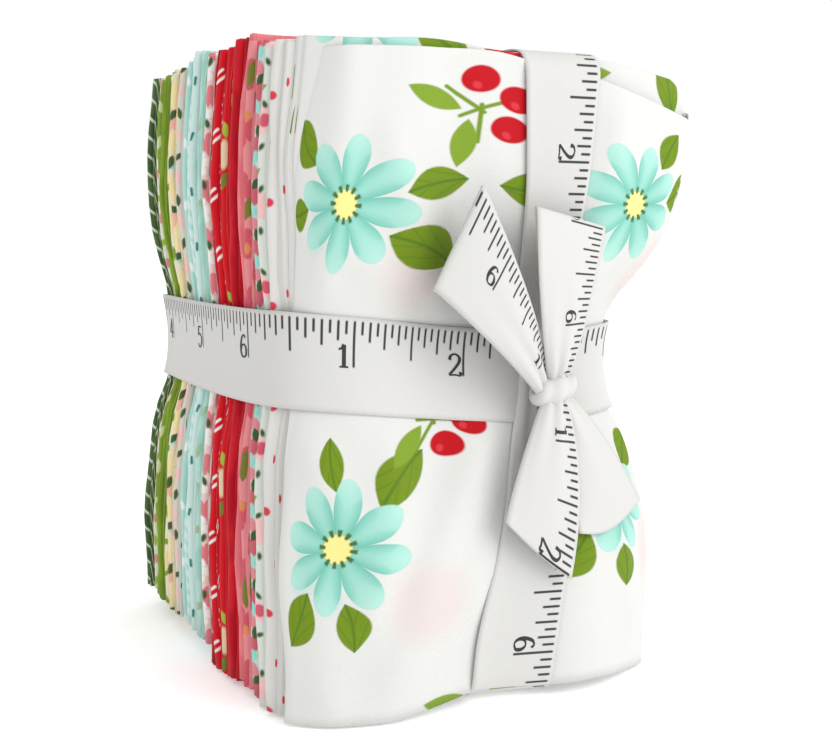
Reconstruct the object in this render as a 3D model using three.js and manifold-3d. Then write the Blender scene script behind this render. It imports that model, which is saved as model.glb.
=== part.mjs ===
// Fat eighth bundle: folded cottons standing on edge side by side, tied crosswise with one
// tape-measure ribbon that ends in a bow.  Millimetres, +Z up, the front cotton faces -Y, the
// folded edges face -X, and the origin lies under the middle of the bundle.

import * as THREE from 'three';
import { mergeVertices } from 'three/addons/utils/BufferGeometryUtils.js';
import Module from 'manifold-3d';

// ---- driving dimensions -------------------------------------------------------------------

const HEIGHT = 130;            // folded height of a cotton
const PANEL_SHARE = 0.265;     // share of a cotton's depth that each of its three panels fills
const WIDE_SHARE = 0.42;       // the same at the open side, where the pile has only two panels
const SLIT_SHARE = 0.055;      // share left open between two panels of one cotton
const FOLD_REACH = 1;          // how far a fold rounds out past its panels
const RIBBON_THICKNESS = 1;
const RIBBON_WIDTH = 19;       // three quarters of an inch
const RIBBON_CLEARANCE = 0.45; // between the ribbon and the cloth under it

// Plan of the tied pile, one row for each level.  left and right are the fold side and the open
// side, front and back the faces, belly and hump how far the faces swell between the corners,
// and bowLeft and bowRight how far the two sides swell half way back.
const LEVELS = [
  { height: 0, left: -47.5, right: 40.6, front: -43, back: 50.3, belly: 7.5, hump: 4, bowLeft: 1, bowRight: 2 },
  { height: 40, left: -47.8, right: 40, front: -41.9, back: 46.8, belly: 6.2, hump: 4, bowLeft: 1.2, bowRight: 2.1 },
  { height: 60, left: -45.4, right: 32.6, front: -37.8, back: 38, belly: 3.3, hump: 3.5, bowLeft: 2, bowRight: 3.9 },
  { height: 81, left: -45.3, right: 35, front: -37.8, back: 37.8, belly: 3.2, hump: 3.5, bowLeft: 2, bowRight: 3.9 },
  { height: 98, left: -46.9, right: 47, front: -40.9, back: 43.6, belly: 3.9, hump: 3.9, bowLeft: 1.4, bowRight: 1.8 },
  { height: HEIGHT, left: -45.9, right: 49.6, front: -43.2, back: 46, belly: 3.8, hump: 3.5, bowLeft: 1, bowRight: 0.8 },
];

// Lines across the width where the panels bend.  swell is the share of belly and hump reached
// there, lean a swell that is the same at every level, and crown and sole how far the top and
// bottom edges stand off the folded height, drawn in where the upright ribbon passes.
const COLUMNS = [
  { across: 0, swell: 0, lean: 0, crown: -1, sole: 0 },
  { across: 0.22, swell: 0.85, lean: 1.3, crown: -0.3, sole: 0 },
  { across: 0.44, swell: 0.8, lean: 0, crown: -1, sole: 1.9 },
  { across: 0.76, swell: 1.25, lean: 0, crown: -1.2, sole: 1.9 },
  { across: 1, swell: 0, lean: 0, crown: -4, sole: -0.4 },
];

// The cottons from front to back.  share is the relative thickness, rise how far the top edge
// stands up at the fold side, lift how far the bottom edge is clear of the table there, fold how
// far the fold is set in, and edgeFoot and edgeTop how far the front panel's free edge is.
const COTTONS = [
  { colour: 0xf1f0ed, share: 1.05, rise: -1.4, lift: 0.0, fold: 1.2, edgeFoot: 1.2, edgeTop: 7.0 },
  { colour: 0xf0e9e6, share: 1.0, rise: 1.2, lift: 0.5, fold: 0.2, edgeFoot: 1.6, edgeTop: 1.2 },
  { colour: 0xeef0ea, share: 1.0, rise: 1.8, lift: 0.0, fold: 0.3, edgeFoot: 1.1, edgeTop: 1.5 },
  { colour: 0xd6e8e0, share: 1.0, rise: 2.2, lift: 0.8, fold: 0.8, edgeFoot: 1.8, edgeTop: 1.3 },
  { colour: 0xd98a8e, share: 0.86, rise: 2.6, lift: 1.6, fold: 0.4, edgeFoot: 1.0, edgeTop: 1.9 },
  { colour: 0xe2878c, share: 0.86, rise: 3.0, lift: 2.0, fold: 0.9, edgeFoot: 1.5, edgeTop: 1.1 },
  { colour: 0xb5001c, share: 1.12, rise: 3.2, lift: 1.4, fold: 0.3, edgeFoot: 1.3, edgeTop: 1.6 },
  { colour: 0xc8051f, share: 1.0, rise: 2.8, lift: 0.8, fold: 0.4, edgeFoot: 0.8, edgeTop: 1.0 },
  { colour: 0xc00014, share: 1.12, rise: 3.2, lift: 0.2, fold: 0.0, edgeFoot: 0.7, edgeTop: 1.2 },
  { colour: 0xb00012, share: 0.92, rise: 3.4, lift: 0.0, fold: 1.2, edgeFoot: 1.4, edgeTop: 0.9 },
  { colour: 0xeac9c4, share: 1.06, rise: 3.6, lift: 3.2, fold: 0.6, edgeFoot: 1.9, edgeTop: 2.2 },
  { colour: 0xa5dacb, share: 0.95, rise: 3.0, lift: 3.8, fold: 0.5, edgeFoot: 1.2, edgeTop: 0.8 },
  { colour: 0xc9e6e2, share: 0.98, rise: 2.9, lift: 4.0, fold: 0.1, edgeFoot: 0.9, edgeTop: 1.5 },
  { colour: 0xd9ecea, share: 0.93, rise: 2.7, lift: 4.2, fold: 0.7, edgeFoot: 1.6, edgeTop: 1.1 },
  { colour: 0x9fd6cd, share: 0.9, rise: 2.4, lift: 4.3, fold: 1.0, edgeFoot: 1.5, edgeTop: 1.8 },
  { colour: 0xdcd8c8, share: 1.1, rise: 2.1, lift: 4.3, fold: 0.4, edgeFoot: 1.0, edgeTop: 1.4 },
  { colour: 0xe9dcae, share: 1.15, rise: 2.4, lift: 4.2, fold: 0.0, edgeFoot: 0.8, edgeTop: 1.2 },
  { colour: 0xe6dcc0, share: 1.08, rise: 1.9, lift: 4.4, fold: 0.9, edgeFoot: 1.7, edgeTop: 1.5 },
  { colour: 0x76952a, share: 1.04, rise: 2.1, lift: 4.5, fold: 0.3, edgeFoot: 1.1, edgeTop: 0.9 },
  { colour: 0x86a33c, share: 1.0, rise: 1.7, lift: 4.4, fold: 0.8, edgeFoot: 1.4, edgeTop: 1.6 },
  { colour: 0xe3e4cf, share: 0.94, rise: 2.0, lift: 4.6, fold: 1.4, edgeFoot: 2.1, edgeTop: 1.8 },
  { colour: 0x3f5a34, share: 0.96, rise: 1.5, lift: 4.8, fold: 0.2, edgeFoot: 1.0, edgeTop: 1.3 },
];
const RISE_FADE = 0.6;         // share of the rise that is gone at the open side

// The level ribbon round the waist, one row for each corner or bend: where it lies on the plan,
// and the height of its middle, which drops towards the knot.
const WAIST = [
  { across: 0, depth: 0, middle: 70.5 },
  { across: 0.22, depth: 0, middle: 69.2 },
  { across: 0.44, depth: 0, middle: 67.2 },
  { across: 0.76, depth: 0, middle: 64.8 },
  { across: 1, depth: 0, middle: 67 },
  ...[0.2, 0.4, 0.6, 0.8].map((depth) => ({ across: 1, depth, middle: 69 })),
  { across: 1, depth: 1, middle: 70 },
  { across: 0.76, depth: 1, middle: 70.5 },
  { across: 0.44, depth: 1, middle: 70.5 },
  { across: 0.22, depth: 1, middle: 70.5 },
  { across: 0, depth: 1, middle: 70.5 },
  ...[0.8, 0.6, 0.4, 0.2].map((depth) => ({ across: 0, depth, middle: 70.5 })),
];

// The upright ribbon, front and back faces: middle and half width across at each height, and
// stacked where it lies over the level one.  It is gathered where it meets the knot.
const UPRIGHT_FRONT = [
  { height: 14, x: 1.6, half: 8.8 },
  { height: 40, x: 7.3, half: 7.3 },
  { height: 52, x: 9.8, half: 6, stacked: true },
  { height: 65, x: 11.2, half: 4, stacked: true },
  { height: 79, x: 11.4, half: 5.5, stacked: true },
  { height: 98, x: 11.6, half: 6.6 },
];
const UPRIGHT_BACK = [
  { height: 98, x: 10, half: 9.5 },
  { height: 84, x: 9, half: 9.5, stacked: true },
  { height: 57, x: 7, half: 9.5, stacked: true },
  { height: 40, x: 5, half: 9.5 },
];
const UPRIGHT_TOP = { x: 11.8, half: 8.6 };
const UPRIGHT_SOLE = { x: 0.2, half: 8.5 };
const STACKED_SHARE = 0.9;     // of the ribbon's thickness, so that crossing ribbons fuse

// The bow.  left and right are the two edges of a piece, each from the knot outwards through a
// point that bends it to its end, as [x, z]; stand is the distance in front at the knot and end.
const KNOT = { x: 11.6, y: -45.6, z: 63.4, halfWidth: 7, halfDepth: 3.5, halfHeight: 5 };
const LOOPS = [
  { left: [[7.6, 62], [-5.4, 74], [-19.3, 84.6]], right: [[10.6, 67], [0.6, 86], [-10.5, 104.6]], stand: [-46.6, -51.7], puff: 2.2 },
  { left: [[8.6, 65], [1.6, 80], [2.2, 100.9]], right: [[14.6, 65], [16.6, 78], [21.6, 97.1]], stand: [-46.6, -50.7], puff: 2 },
];
const TAILS = [
  { left: [[9.6, 61], [-3.4, 44], [-0.4, 34.2]], right: [[14.1, 61], [17.6, 44], [9.9, 25.8]], stand: [-47.2, -53.9] },
  { left: [[11, 62], [12.6, 46], [14.1, 34.4]], right: [[16, 62.5], [22.6, 54], [31.5, 39.2]], stand: [-45.2, -51.3] },
];
const LOOP_ROOT = 0.75;        // half the distance between a loop's two layers inside the knot
const STEPS_OUT = 5;           // steps from the knot to the end of a loop or tail

// ---- the plan of the pile ----------------------------------------------------------------

const mix = (from, to, share) => from + (to - from) * share;

// Row of a table at a value of its key column, on the straight line between (or beyond) rows.
function rowAt(table, key, value) {
  const inner = table.findIndex((row) => row[key] > value);
  const upper = inner < 0 ? table.length - 1 : Math.max(inner, 1);
  const [low, high] = [table[upper - 1], table[upper]];
  const share = (value - low[key]) / (high[key] - low[key]);
  return Object.fromEntries(Object.keys(low).map((name) => [name, mix(low[name], high[name], share)]));
}

function sides(depth, height) {
  const plan = rowAt(LEVELS, 'height', height);
  const bowed = 1 - (2 * depth - 1) ** 2;
  return { plan, left: plan.left - plan.bowLeft * bowed, right: plan.right + plan.bowRight * bowed };
}

// Y of the pile at x, with depth 0 on the front face and 1 on the back face.
function depthToY(x, depth, height) {
  const { plan, left, right } = sides(depth, height);
  const line = rowAt(COLUMNS, 'across', (x - left) / (right - left));
  const front = plan.front - line.lean - line.swell * plan.belly;
  const back = plan.back + line.lean + line.swell * plan.hump;
  return mix(front, back, depth);
}

// Point of the pile: a share across and through it, moved along the width by shift.
function placed(across, depth, height, shift = 0) {
  const { left, right } = sides(depth, height);
  const x = mix(left, right, across) + shift;
  return new THREE.Vector3(x, depthToY(x, depth, height), height);
}

// ---- building closed meshes ---------------------------------------------------------------

// Rings of equally many points joined by bands, with the first and last ring filled in.  Every
// four-cornered patch is split from its low left to its high right corner, so that the faces of
// neighbours run side by side.
function skin(rings, cap) {
  const count = rings[0].length;
  const faces = [];
  for (let ring = 1; ring < rings.length; ring += 1) {
    for (let point = 0; point < count; point += 1) {
      const next = (point + 1) % count;
      const [a, b] = [(ring - 1) * count + point, (ring - 1) * count + next];
      const [c, d] = [a + count, b + count];
      const rightward = rings[ring][next].x > rings[ring][point].x;
      faces.push(...(rightward ? [a, b, d, a, d, c] : [a, b, c, b, d, c]));
    }
  }
  const last = (rings.length - 1) * count;
  cap.forEach(([a, b, c]) => faces.push(a, c, b, last + a, last + b, last + c));
  return geometryOf(rings.flat(), faces);
}

function geometryOf(points, faces) {
  const geometry = new THREE.BufferGeometry();
  geometry.setAttribute('position', new THREE.Float32BufferAttribute(points.flatMap((p) => p.toArray()), 3));
  geometry.setIndex(faces);
  return geometry;
}

// ---- the cottons --------------------------------------------------------------------------

const totalShare = COTTONS.reduce((sum, cotton) => sum + cotton.share, 0);
const innerColumns = COLUMNS.slice(1, -1).map((column) => column.across);

// Half turn of a fold: four points from one panel's outside round to the next one's.
function foldArc(across, inset, start, end) {
  const towards = across === 0 ? 1 : -1;
  const [middle, half] = [(start + end) / 2, (end - start) / 2];
  return [-90, -30, 30, 90].map((degrees) => {
    const turn = THREE.MathUtils.degToRad(degrees);
    const shift = towards * (inset + FOLD_REACH - FOLD_REACH * Math.cos(turn));
    return { across, shift, depth: middle + half * Math.sin(turn) };
  });
}

// Depth of one face (0 near, 1 far) of a cotton's panel (0 front, 1 middle, 2 third).
function faceDepth(cotton, panel, face, across) {
  const share = across > innerColumns[1] ? WIDE_SHARE : PANEL_SHARE;
  return cotton.start + cotton.thick * (panel * (share + SLIT_SHARE) + face * share);
}

// The two faces of one cotton seen from above, from end to end of the cloth: front panel from its
// free edge to the fold at the open side, middle panel back to the fold side, and a short third
// panel that ends inside the pile.  run counts the steps along the cloth on both faces alike.
function faceLines(cotton, edge) {
  const depthOf = (panel, face, across) => faceDepth(cotton, panel, face, across);
  const freeEdge = (face) => ({ across: 0, shift: edge, depth: depthOf(0, face, 0), run: 0 });
  const along = (columns, panel, face, run) => columns.map((across, step) => {
    return { across, shift: 0, depth: depthOf(panel, face, across), run: run + step };
  });
  const arc = (across, panel, run) => {
    const [from, to] = [depthOf(panel, 0, across), depthOf(panel + 1, 1, across)];
    return foldArc(across, cotton.fold, from, to).map((point, step) => ({ ...point, run: run + step }));
  };
  const slit = (across, panel, run) => [1, 0].map((face, step) => {
    const shift = (across === 0 ? 1 : -1) * (cotton.fold + FOLD_REACH);
    return { across, shift, depth: depthOf(panel + step, face, across), run: run + 0.5 + 2 * step };
  });
  const backwards = [...innerColumns].reverse();
  const shortPanel = innerColumns.slice(0, 2);
  const nearFace = [
    freeEdge(0),
    ...along(innerColumns, 0, 0, 1),
    ...arc(1, 0, 4),
    ...along(backwards, 1, 1, 8),
    ...slit(0, 1, 11),
    ...along(shortPanel, 2, 0, 15),
  ];
  const farFace = [
    freeEdge(1),
    ...along(innerColumns, 0, 1, 1),
    ...slit(1, 0, 4),
    ...along(backwards, 1, 0, 8),
    ...arc(0, 1, 11),
    ...along(shortPanel, 2, 1, 15),
  ];
  return { nearFace, farFace };
}

// Fills the space between the two faces, stepping along whichever lags behind.
function fillBetween({ nearFace, farFace }) {
  const last = nearFace.length + farFace.length - 1;
  const triangles = [];
  let [near, far] = [0, 0];
  while (near < nearFace.length - 1 || far < farFace.length - 1) {
    const nearRun = nearFace[near + 1]?.run ?? Infinity;
    const farRun = farFace[far + 1]?.run ?? Infinity;
    if (nearRun <= farRun) {
      triangles.push([near, near + 1, last - far]);
      near += 1;
    } else {
      triangles.push([near, last - far - 1, last - far]);
      far += 1;
    }
  }
  return triangles;
}

// Heights of a cotton's bottom and top edges at a place across the pile.
function ends(cotton, across) {
  const line = rowAt(COLUMNS, 'across', across);
  const bottom = Math.max(0, line.sole + cotton.lift * (1 - across) ** 2);
  const top = HEIGHT + line.crown + cotton.rise * (1 - RISE_FADE * across);
  return { bottom, top };
}

function cottonGeometry(cotton) {
  const rings = LEVELS.map((row, level) => {
    const edge = mix(cotton.edgeFoot, cotton.edgeTop, Math.max(0, 2 * row.height / HEIGHT - 1));
    const { nearFace, farFace } = faceLines(cotton, edge);
    return [...nearFace, ...farFace.reverse()].map(({ across, shift, depth }) => {
      const { left, right } = sides(depth, row.height);
      const { bottom, top } = ends(cotton, across + shift / (right - left));
      const height = [bottom, ...LEVELS.slice(1, -1).map((inner) => inner.height), top][level];
      return placed(across, depth, height, shift);
    });
  });
  return skin(rings, fillBetween(faceLines(cotton, 0)));
}

function laidOut(cottons) {
  let start = 0;
  return cottons.map((cotton) => {
    const thick = cotton.share / totalShare;
    start += thick;
    return { ...cotton, thick, start: start - thick };
  });
}

// ---- the ribbon -----------------------------------------------------------------------------

// A strip of the ribbon's thickness: stations hold the two edges of its under face and the way
// out from it.  A closed strip is a ring.
function strip(stations, closed) {
  const rings = stations.map(({ left, right, out }) => {
    const rise = out.clone().multiplyScalar(RIBBON_THICKNESS);
    return [left, right, right.clone().add(rise), left.clone().add(rise)];
  });
  const loop = closed ? [...rings, rings[0]] : rings;
  const ends = closed ? [] : [[0, 1, 2], [0, 2, 3]];
  return skin(loop, ends);
}

const towards = (x, y, z) => new THREE.Vector3(x, y, z);

// Way out of the pile at a bend of the level ribbon, as long as it takes to clear both faces.
function outOfPlan({ across, depth }) {
  const alongX = across === 0 ? -1 : Number(across === 1);
  const alongY = depth === 0 ? -1 : Number(depth === 1);
  return towards(alongX, alongY, 0);
}

function levelRibbon() {
  return strip(WAIST.map((bend) => {
    const out = outOfPlan(bend);
    const [left, right] = [-1, 1].map((side) => {
      const height = bend.middle + side * RIBBON_WIDTH / 2;
      return placed(bend.across, bend.depth, height).addScaledVector(out, RIBBON_CLEARANCE);
    });
    return { left, right, out };
  }), true);
}

function acrossStation({ x, half }, out, pointAt) {
  const [left, right] = [x + half, x - half].map(pointAt);
  return { left, right, out };
}

function faceStation(row, depth) {
  const out = towards(0, depth === 0 ? -1 : 1, 0);
  const clear = RIBBON_CLEARANCE + (row.stacked ? STACKED_SHARE * RIBBON_THICKNESS : 0);
  return acrossStation(row, out, (x) => {
    return towards(x, depthToY(x, depth, row.height) + out.y * clear, row.height);
  });
}

// Stations over the top (side 1) or under the bottom (side -1), with the corners at both faces.
function edgeStation(row, depth, side, height) {
  const out = towards(0, depth === 0 ? -1 : Number(depth === 1), side);
  return acrossStation(row, out, (x) => {
    const y = depthToY(x, depth, side > 0 ? HEIGHT : 0);
    return towards(x, y + out.y * RIBBON_CLEARANCE, height + side * RIBBON_CLEARANCE);
  });
}

function uprightRibbon(cottons) {
  const ribbonLine = COLUMNS[2];
  const near = (depth) => cottons.filter((c) => Math.abs(c.start + c.thick / 2 - depth) < 0.14);
  const topAt = (depth) => Math.max(...near(depth).map((c) => ends(c, ribbonLine.across).top));
  const inwards = [0.14, 0.35, 0.65, 0.86];
  return strip([
    edgeStation(UPRIGHT_SOLE, 0, -1, ribbonLine.sole),
    ...UPRIGHT_FRONT.map((row) => faceStation(row, 0)),
    edgeStation(UPRIGHT_TOP, 0, 1, topAt(0)),
    ...inwards.map((depth) => edgeStation(UPRIGHT_TOP, depth, 1, topAt(depth))),
    edgeStation(UPRIGHT_TOP, 1, 1, topAt(1)),
    ...UPRIGHT_BACK.map((row) => faceStation(row, 1)),
    edgeStation(UPRIGHT_SOLE, 1, -1, ribbonLine.sole),
  ], true);
}

// Point on the bent line from a through b's pull to c.
function bent([a, b, c], stand, share) {
  const [x, z] = [0, 1].map((axis) => {
    return (1 - share) ** 2 * a[axis] + 2 * share * (1 - share) * b[axis] + share ** 2 * c[axis];
  });
  return towards(x, mix(stand[0], stand[1], share), z);
}

function layer(piece, lift) {
  return Array.from({ length: STEPS_OUT + 1 }, (_, step) => {
    const share = step / STEPS_OUT;
    const [left, right] = [piece.left, piece.right].map((edge) => {
      return bent(edge, piece.stand, share).add(towards(0, lift(share), 0));
    });
    return { left, right };
  });
}

// Gives each station its way out, square to the strip's run and to its width.
function withNormals(stations) {
  return stations.map((station, index) => {
    const [before, after] = [stations[Math.max(index - 1, 0)], stations[Math.min(index + 1, stations.length - 1)]];
    const run = after.left.clone().add(after.right).sub(before.left).sub(before.right);
    const width = station.right.clone().sub(station.left);
    return { ...station, out: run.cross(width).normalize() };
  });
}

function bowLoop(piece) {
  const gap = (share) => LOOP_ROOT + piece.puff * Math.sin(Math.PI * share);
  const back = layer(piece, (share) => gap(share));
  const front = layer(piece, (share) => -gap(share)).reverse();
  return strip(withNormals([...back, ...front]), false);
}

function bowTail(piece) {
  return strip(withNormals(layer(piece, () => 0)), false);
}

function knot() {
  const ball = new THREE.SphereGeometry(1, 12, 8);
  ball.scale(KNOT.halfWidth, KNOT.halfDepth, KNOT.halfHeight);
  return ball.translate(KNOT.x, KNOT.y, KNOT.z);
}

const wasm = await Module();
wasm.setup();

function solidOf(geometry) {
  const bare = geometry.clone();
  bare.deleteAttribute('normal');
  bare.deleteAttribute('uv');
  const merged = mergeVertices(bare, 1e-4);
  const solid = new wasm.Manifold(new wasm.Mesh({
    numProp: 3,
    vertProperties: merged.attributes.position.array,
    triVerts: Uint32Array.from(merged.index.array),
  }));
  return solid;
}

function geometryOfSolid(solid) {
  const { vertProperties, triVerts } = solid.getMesh();
  const geometry = new THREE.BufferGeometry();
  geometry.setAttribute('position', new THREE.BufferAttribute(vertProperties, 3));
  geometry.setIndex(new THREE.BufferAttribute(triVerts, 1));
  return geometry;
}

// One ribbon: both rounds, the knot, two loops and two tails are a single solid.
function ribbonGeometry(cottons) {
  const pieces = [levelRibbon(), uprightRibbon(cottons), knot(), ...LOOPS.map(bowLoop), ...TAILS.map(bowTail)];
  return geometryOfSolid(pieces.map(solidOf).reduce((whole, piece) => whole.add(piece)));
}

// ---- the bundle -----------------------------------------------------------------------------

function named(name, geometry, colour, roughness) {
  const material = new THREE.MeshStandardMaterial({ color: colour, roughness, metalness: 0 });
  const mesh = new THREE.Mesh(geometry, material);
  mesh.name = name;
  return mesh;
}

const bundle = new THREE.Group();
const cottons = laidOut(COTTONS);
cottons.forEach((cotton, index) => {
  const name = `fabric_${String(index + 1).padStart(2, '0')}`;
  bundle.add(named(name, cottonGeometry(cotton), cotton.colour, 0.9));
});
bundle.add(named('ribbon', ribbonGeometry(cottons), 0xf2f1ee, 0.7));

export default bundle;
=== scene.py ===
"""Fat eighth bundle: printed cottons, folded, stood on edge and tied with a tape-measure ribbon.

Each cotton is one real sheet.  It goes up and down in four runs as long as the bundle is tall,
and the strip this makes is laid to the open side, back to the fold side and part of the way
again.  The ribbon goes once round the waist and once over top and bottom, and ends in a bow.
Lengths are in millimetres until they go into a mesh.
"""

import math

import bpy
import numpy as np
from mathutils import Matrix, Vector


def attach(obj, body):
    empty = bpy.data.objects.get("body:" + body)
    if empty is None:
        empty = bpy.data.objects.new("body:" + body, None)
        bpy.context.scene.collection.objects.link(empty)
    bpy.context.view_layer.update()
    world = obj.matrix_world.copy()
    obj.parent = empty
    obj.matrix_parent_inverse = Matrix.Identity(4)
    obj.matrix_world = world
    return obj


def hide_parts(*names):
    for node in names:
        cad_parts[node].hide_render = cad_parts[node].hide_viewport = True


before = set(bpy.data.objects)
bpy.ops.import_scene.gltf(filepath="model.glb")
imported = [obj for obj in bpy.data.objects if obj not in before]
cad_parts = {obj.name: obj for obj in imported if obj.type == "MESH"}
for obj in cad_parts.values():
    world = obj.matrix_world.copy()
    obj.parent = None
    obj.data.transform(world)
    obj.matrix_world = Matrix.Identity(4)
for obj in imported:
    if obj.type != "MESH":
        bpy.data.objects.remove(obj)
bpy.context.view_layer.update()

MM = 0.001
INCH = 25.4
TAU = 2 * math.pi


def columns(names, *rows):
    """A table as one array for each named column."""
    return {name: np.array(values, float) for name, values in zip(names.split(), zip(*rows))}


# ---- the plan of the pile -------------------------------------------------------------------

HEIGHT = 130.0

# One row for each level: the fold side and open side, the two faces, how far the faces swell
# between the corners, how far the sides bow half way back, and how far the front corner of the
# folds is drawn in.
LEVELS = columns(
    "height left right front back belly hump bow_left bow_right corner",
    (0, -47.5, 40.6, -43.0, 50.3, 7.5, 4.0, 1.0, 2.0, 0.8),
    (38, -47.8, 40.2, -42.0, 47.0, 6.3, 4.0, 1.2, 2.0, 0.8),
    (52, -46.6, 36.8, -39.0, 43.2, 4.0, 3.8, 1.6, 3.0, 2.2),
    (61, -45.2, 32.3, -37.7, 37.4, 3.2, 3.5, 2.0, 4.0, 3.0),
    (80, -45.2, 34.1, -37.7, 37.4, 3.2, 3.5, 2.0, 4.0, 3.0),
    (90, -46.2, 42.6, -39.4, 41.6, 3.6, 3.8, 1.6, 2.4, 2.6),
    (104, -47.3, 48.4, -41.8, 44.6, 4.2, 4.0, 1.2, 1.2, 2.4),
    (120, -46.8, 50.2, -42.9, 45.6, 4.0, 3.7, 1.0, 0.8, 2.4),
    (HEIGHT, -45.9, 49.6, -43.2, 46.0, 3.8, 3.5, 1.0, 0.8, 2.4),
)
CORNER_REACH = 0.1  # how far along the sides the corner is drawn in, as a share of them

# Across the width: the share of belly and hump, a swell that is the same at every level, and
# how far the top and bottom edges stand off the folded height.
BENDS = columns(
    "across swell lean crown sole",
    (0, 0, 0, -1, 0),
    (0.22, 0.85, 1.3, -0.3, 0),
    (0.44, 0.8, 0, -0.4, 1.9),
    (0.76, 1.25, 0, -0.8, 1.9),
    (1, 0, 0, -4, -0.4),
)

# Soft folds of the two faces, each along a line from x, z to x_end, z_end: a ridge where its
# height is over 0 and a trough where it is under.
CREASES = columns(
    "x z x_end z_end width height",
    (-36, 130, -39, 84, 4.5, 1.6),
    (-42, 58, -41, 4, 4.5, 1.0),
    (-27, 112, -11, 78, 3.6, 1.5),
    (-14, 124, -3, 80, 4.6, -1.1),
    (-33, 92, -16, 80, 3.4, 1.1),
    (25, 118, 19, 80, 3.6, 1.3),
    (38, 114, 27, 80, 4, -1.1),
    (1, 60, -20, 27, 4, 1.9),
    (-7, 61, -33, 8, 5, -1.4),
    (-46, 64, -34, 38, 3.5, 1.3),
    (-22, 61, -31, 22, 4, 1.3),
    (20, 56, 33, 14, 4, 1.4),
    (-38, 4, -4, 28, 6, 1.4),
)
CREASE_DEPTH = 0.05  # share of the pile's depth after which its folds have faded

WAIST_HEIGHT = 70.5  # middle of the level ribbon on the back and the fold side

# The strips along the two ribbons where no soft fold lies: half width of the upright one, half
# height of the level one, and how far under WAIST_HEIGHT the middle of that one is.
FLAT_WIDE, FLAT_HIGH, FLAT_DROP = 10.0, 15.0, 3.0

# The upright ribbon on the front face: its middle, its half width and how deep it presses.
UPRIGHT = columns(
    "height middle half press",
    (0, 0.2, 8.5, 0.9),
    (14, 1.6, 8.8, 0.9),
    (38, 7, 7.4, 1.2),
    (52, 9.8, 6, 1.4),
    (65, 11.2, 4, 1.6),
    (79, 11.4, 5.5, 1.4),
    (102, 11.6, 6.8, 1.1),
    (HEIGHT, 11.8, 8.5, 0.8),
)
GROOVE_HALF = 11.0  # half width of the groove that it presses


def through(rows, name, at):
    """Smooth line through a column of a table, against its first column: cubic pieces between
    rows, whose slope at a row is the mean slope of its two sides."""
    keys, values = next(iter(rows.values())), rows[name]
    slope = np.gradient(values, keys)
    low = np.clip(np.searchsorted(keys, at) - 1, 0, len(keys) - 2)
    step = keys[low + 1] - keys[low]
    t = (at - keys[low]) / step
    start = (1 + 2 * t) * (1 - t) ** 2 * values[low] + t * (1 - t) ** 2 * step * slope[low]
    end = t**2 * (3 - 2 * t) * values[low + 1] + t**2 * (t - 1) * step * slope[low + 1]
    return start + end


def between(rows, name, at):
    """The same with straight lines between rows."""
    return np.interp(at, next(iter(rows.values())), rows[name])


def together(*parts):
    """One array of points or places from the arrays of their parts."""
    return np.stack(np.broadcast_arrays(*parts), axis=-1)


def bell(off, half, power=2):
    """1 at 0 and falling off on both sides: the higher the even power, the flatter its top."""
    return np.exp(-((off / half) ** power))


def sides(depth, height):
    """X of the fold side and the open side, each bowed outwards half way back."""
    bowed = 1 - (2 * depth - 1) ** 2
    left = through(LEVELS, "left", height)
    right = through(LEVELS, "right", height)
    left = left - bowed * between(LEVELS, "bow_left", height)
    right = right + bowed * between(LEVELS, "bow_right", height)
    return left, right


def depth_to_y(x, depth, height):
    """Y at x: the front face swells forwards and the back face backwards, with a groove pressed
    into the front by the upright ribbon, and depth runs from one to the other."""
    left, right = sides(depth, height)
    across = np.clip((x - left) / (right - left), 0, 1)
    swell = through(BENDS, "swell", across)
    lean = through(BENDS, "lean", across)
    belly = through(LEVELS, "belly", height)
    hump = through(LEVELS, "hump", height)
    off = x - between(UPRIGHT, "middle", height)
    groove = between(UPRIGHT, "press", height) * bell(off, GROOVE_HALF, 4)
    front = through(LEVELS, "front", height) - lean - swell * belly + groove
    back = through(LEVELS, "back", height) + lean + swell * hump
    return front + (back - front) * depth


def creases(x, height):
    """Height of the soft folds at a place on a face: each falls off as a bell curve with the
    distance from its line, and none lies under the ribbon."""
    total = 0.0 * (x + height)
    for a, b, c, d, width, crest in zip(*CREASES.values()):
        run = ((x - a) * (c - a) + (height - b) * (d - b)) / ((c - a) ** 2 + (d - b) ** 2)
        run = np.clip(run, 0, 1)
        gap = (x - a - run * (c - a)) ** 2 + (height - b - run * (d - b)) ** 2
        total = total + crest * np.exp(-gap / width**2)
    off = x - between(UPRIGHT, "middle", height)
    high = height - WAIST_HEIGHT + FLAT_DROP
    return total * (1 - bell(off, FLAT_WIDE, 4)) * (1 - bell(high, FLAT_HIGH, 4))


def placed(across, depth, height, shift=0.0):
    """Points of the pile at a share across and through it, moved along the width by shift.  The
    soft folds fade with depth, and the front corner of the fold side is drawn in."""
    left, right = sides(depth, height)
    x = left + (right - left) * across + shift
    y = depth_to_y(x, depth, height)
    y = y - creases(x, height) * np.exp(-depth / CREASE_DEPTH)
    y = y + creases(-x, height) * np.exp((depth - 1) / CREASE_DEPTH)
    corner = between(LEVELS, "corner", height)
    pull = corner * np.exp(-(across + depth) / CORNER_REACH)
    return together(x + pull, y + pull, height)


def waves(rng, at, *lengths):
    """Sum of sines of the given wave lengths with random starts, of about unit height."""
    total = sum(np.sin(TAU * at / length + rng.uniform(0, TAU)) for length in lengths)
    return total / len(lengths) ** 0.5


# ---- meshes ---------------------------------------------------------------------------------


def normals(grid):
    """Unit normals of a grid of points: the cross product of its two directions."""
    along, over = np.gradient(grid, axis=0), np.gradient(grid, axis=1)
    square = np.cross(along, over)
    return square / np.maximum(np.linalg.norm(square, axis=-1, keepdims=True), 1e-12)


BLANK = -5.0  # a share across the tape where nothing is printed


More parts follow.
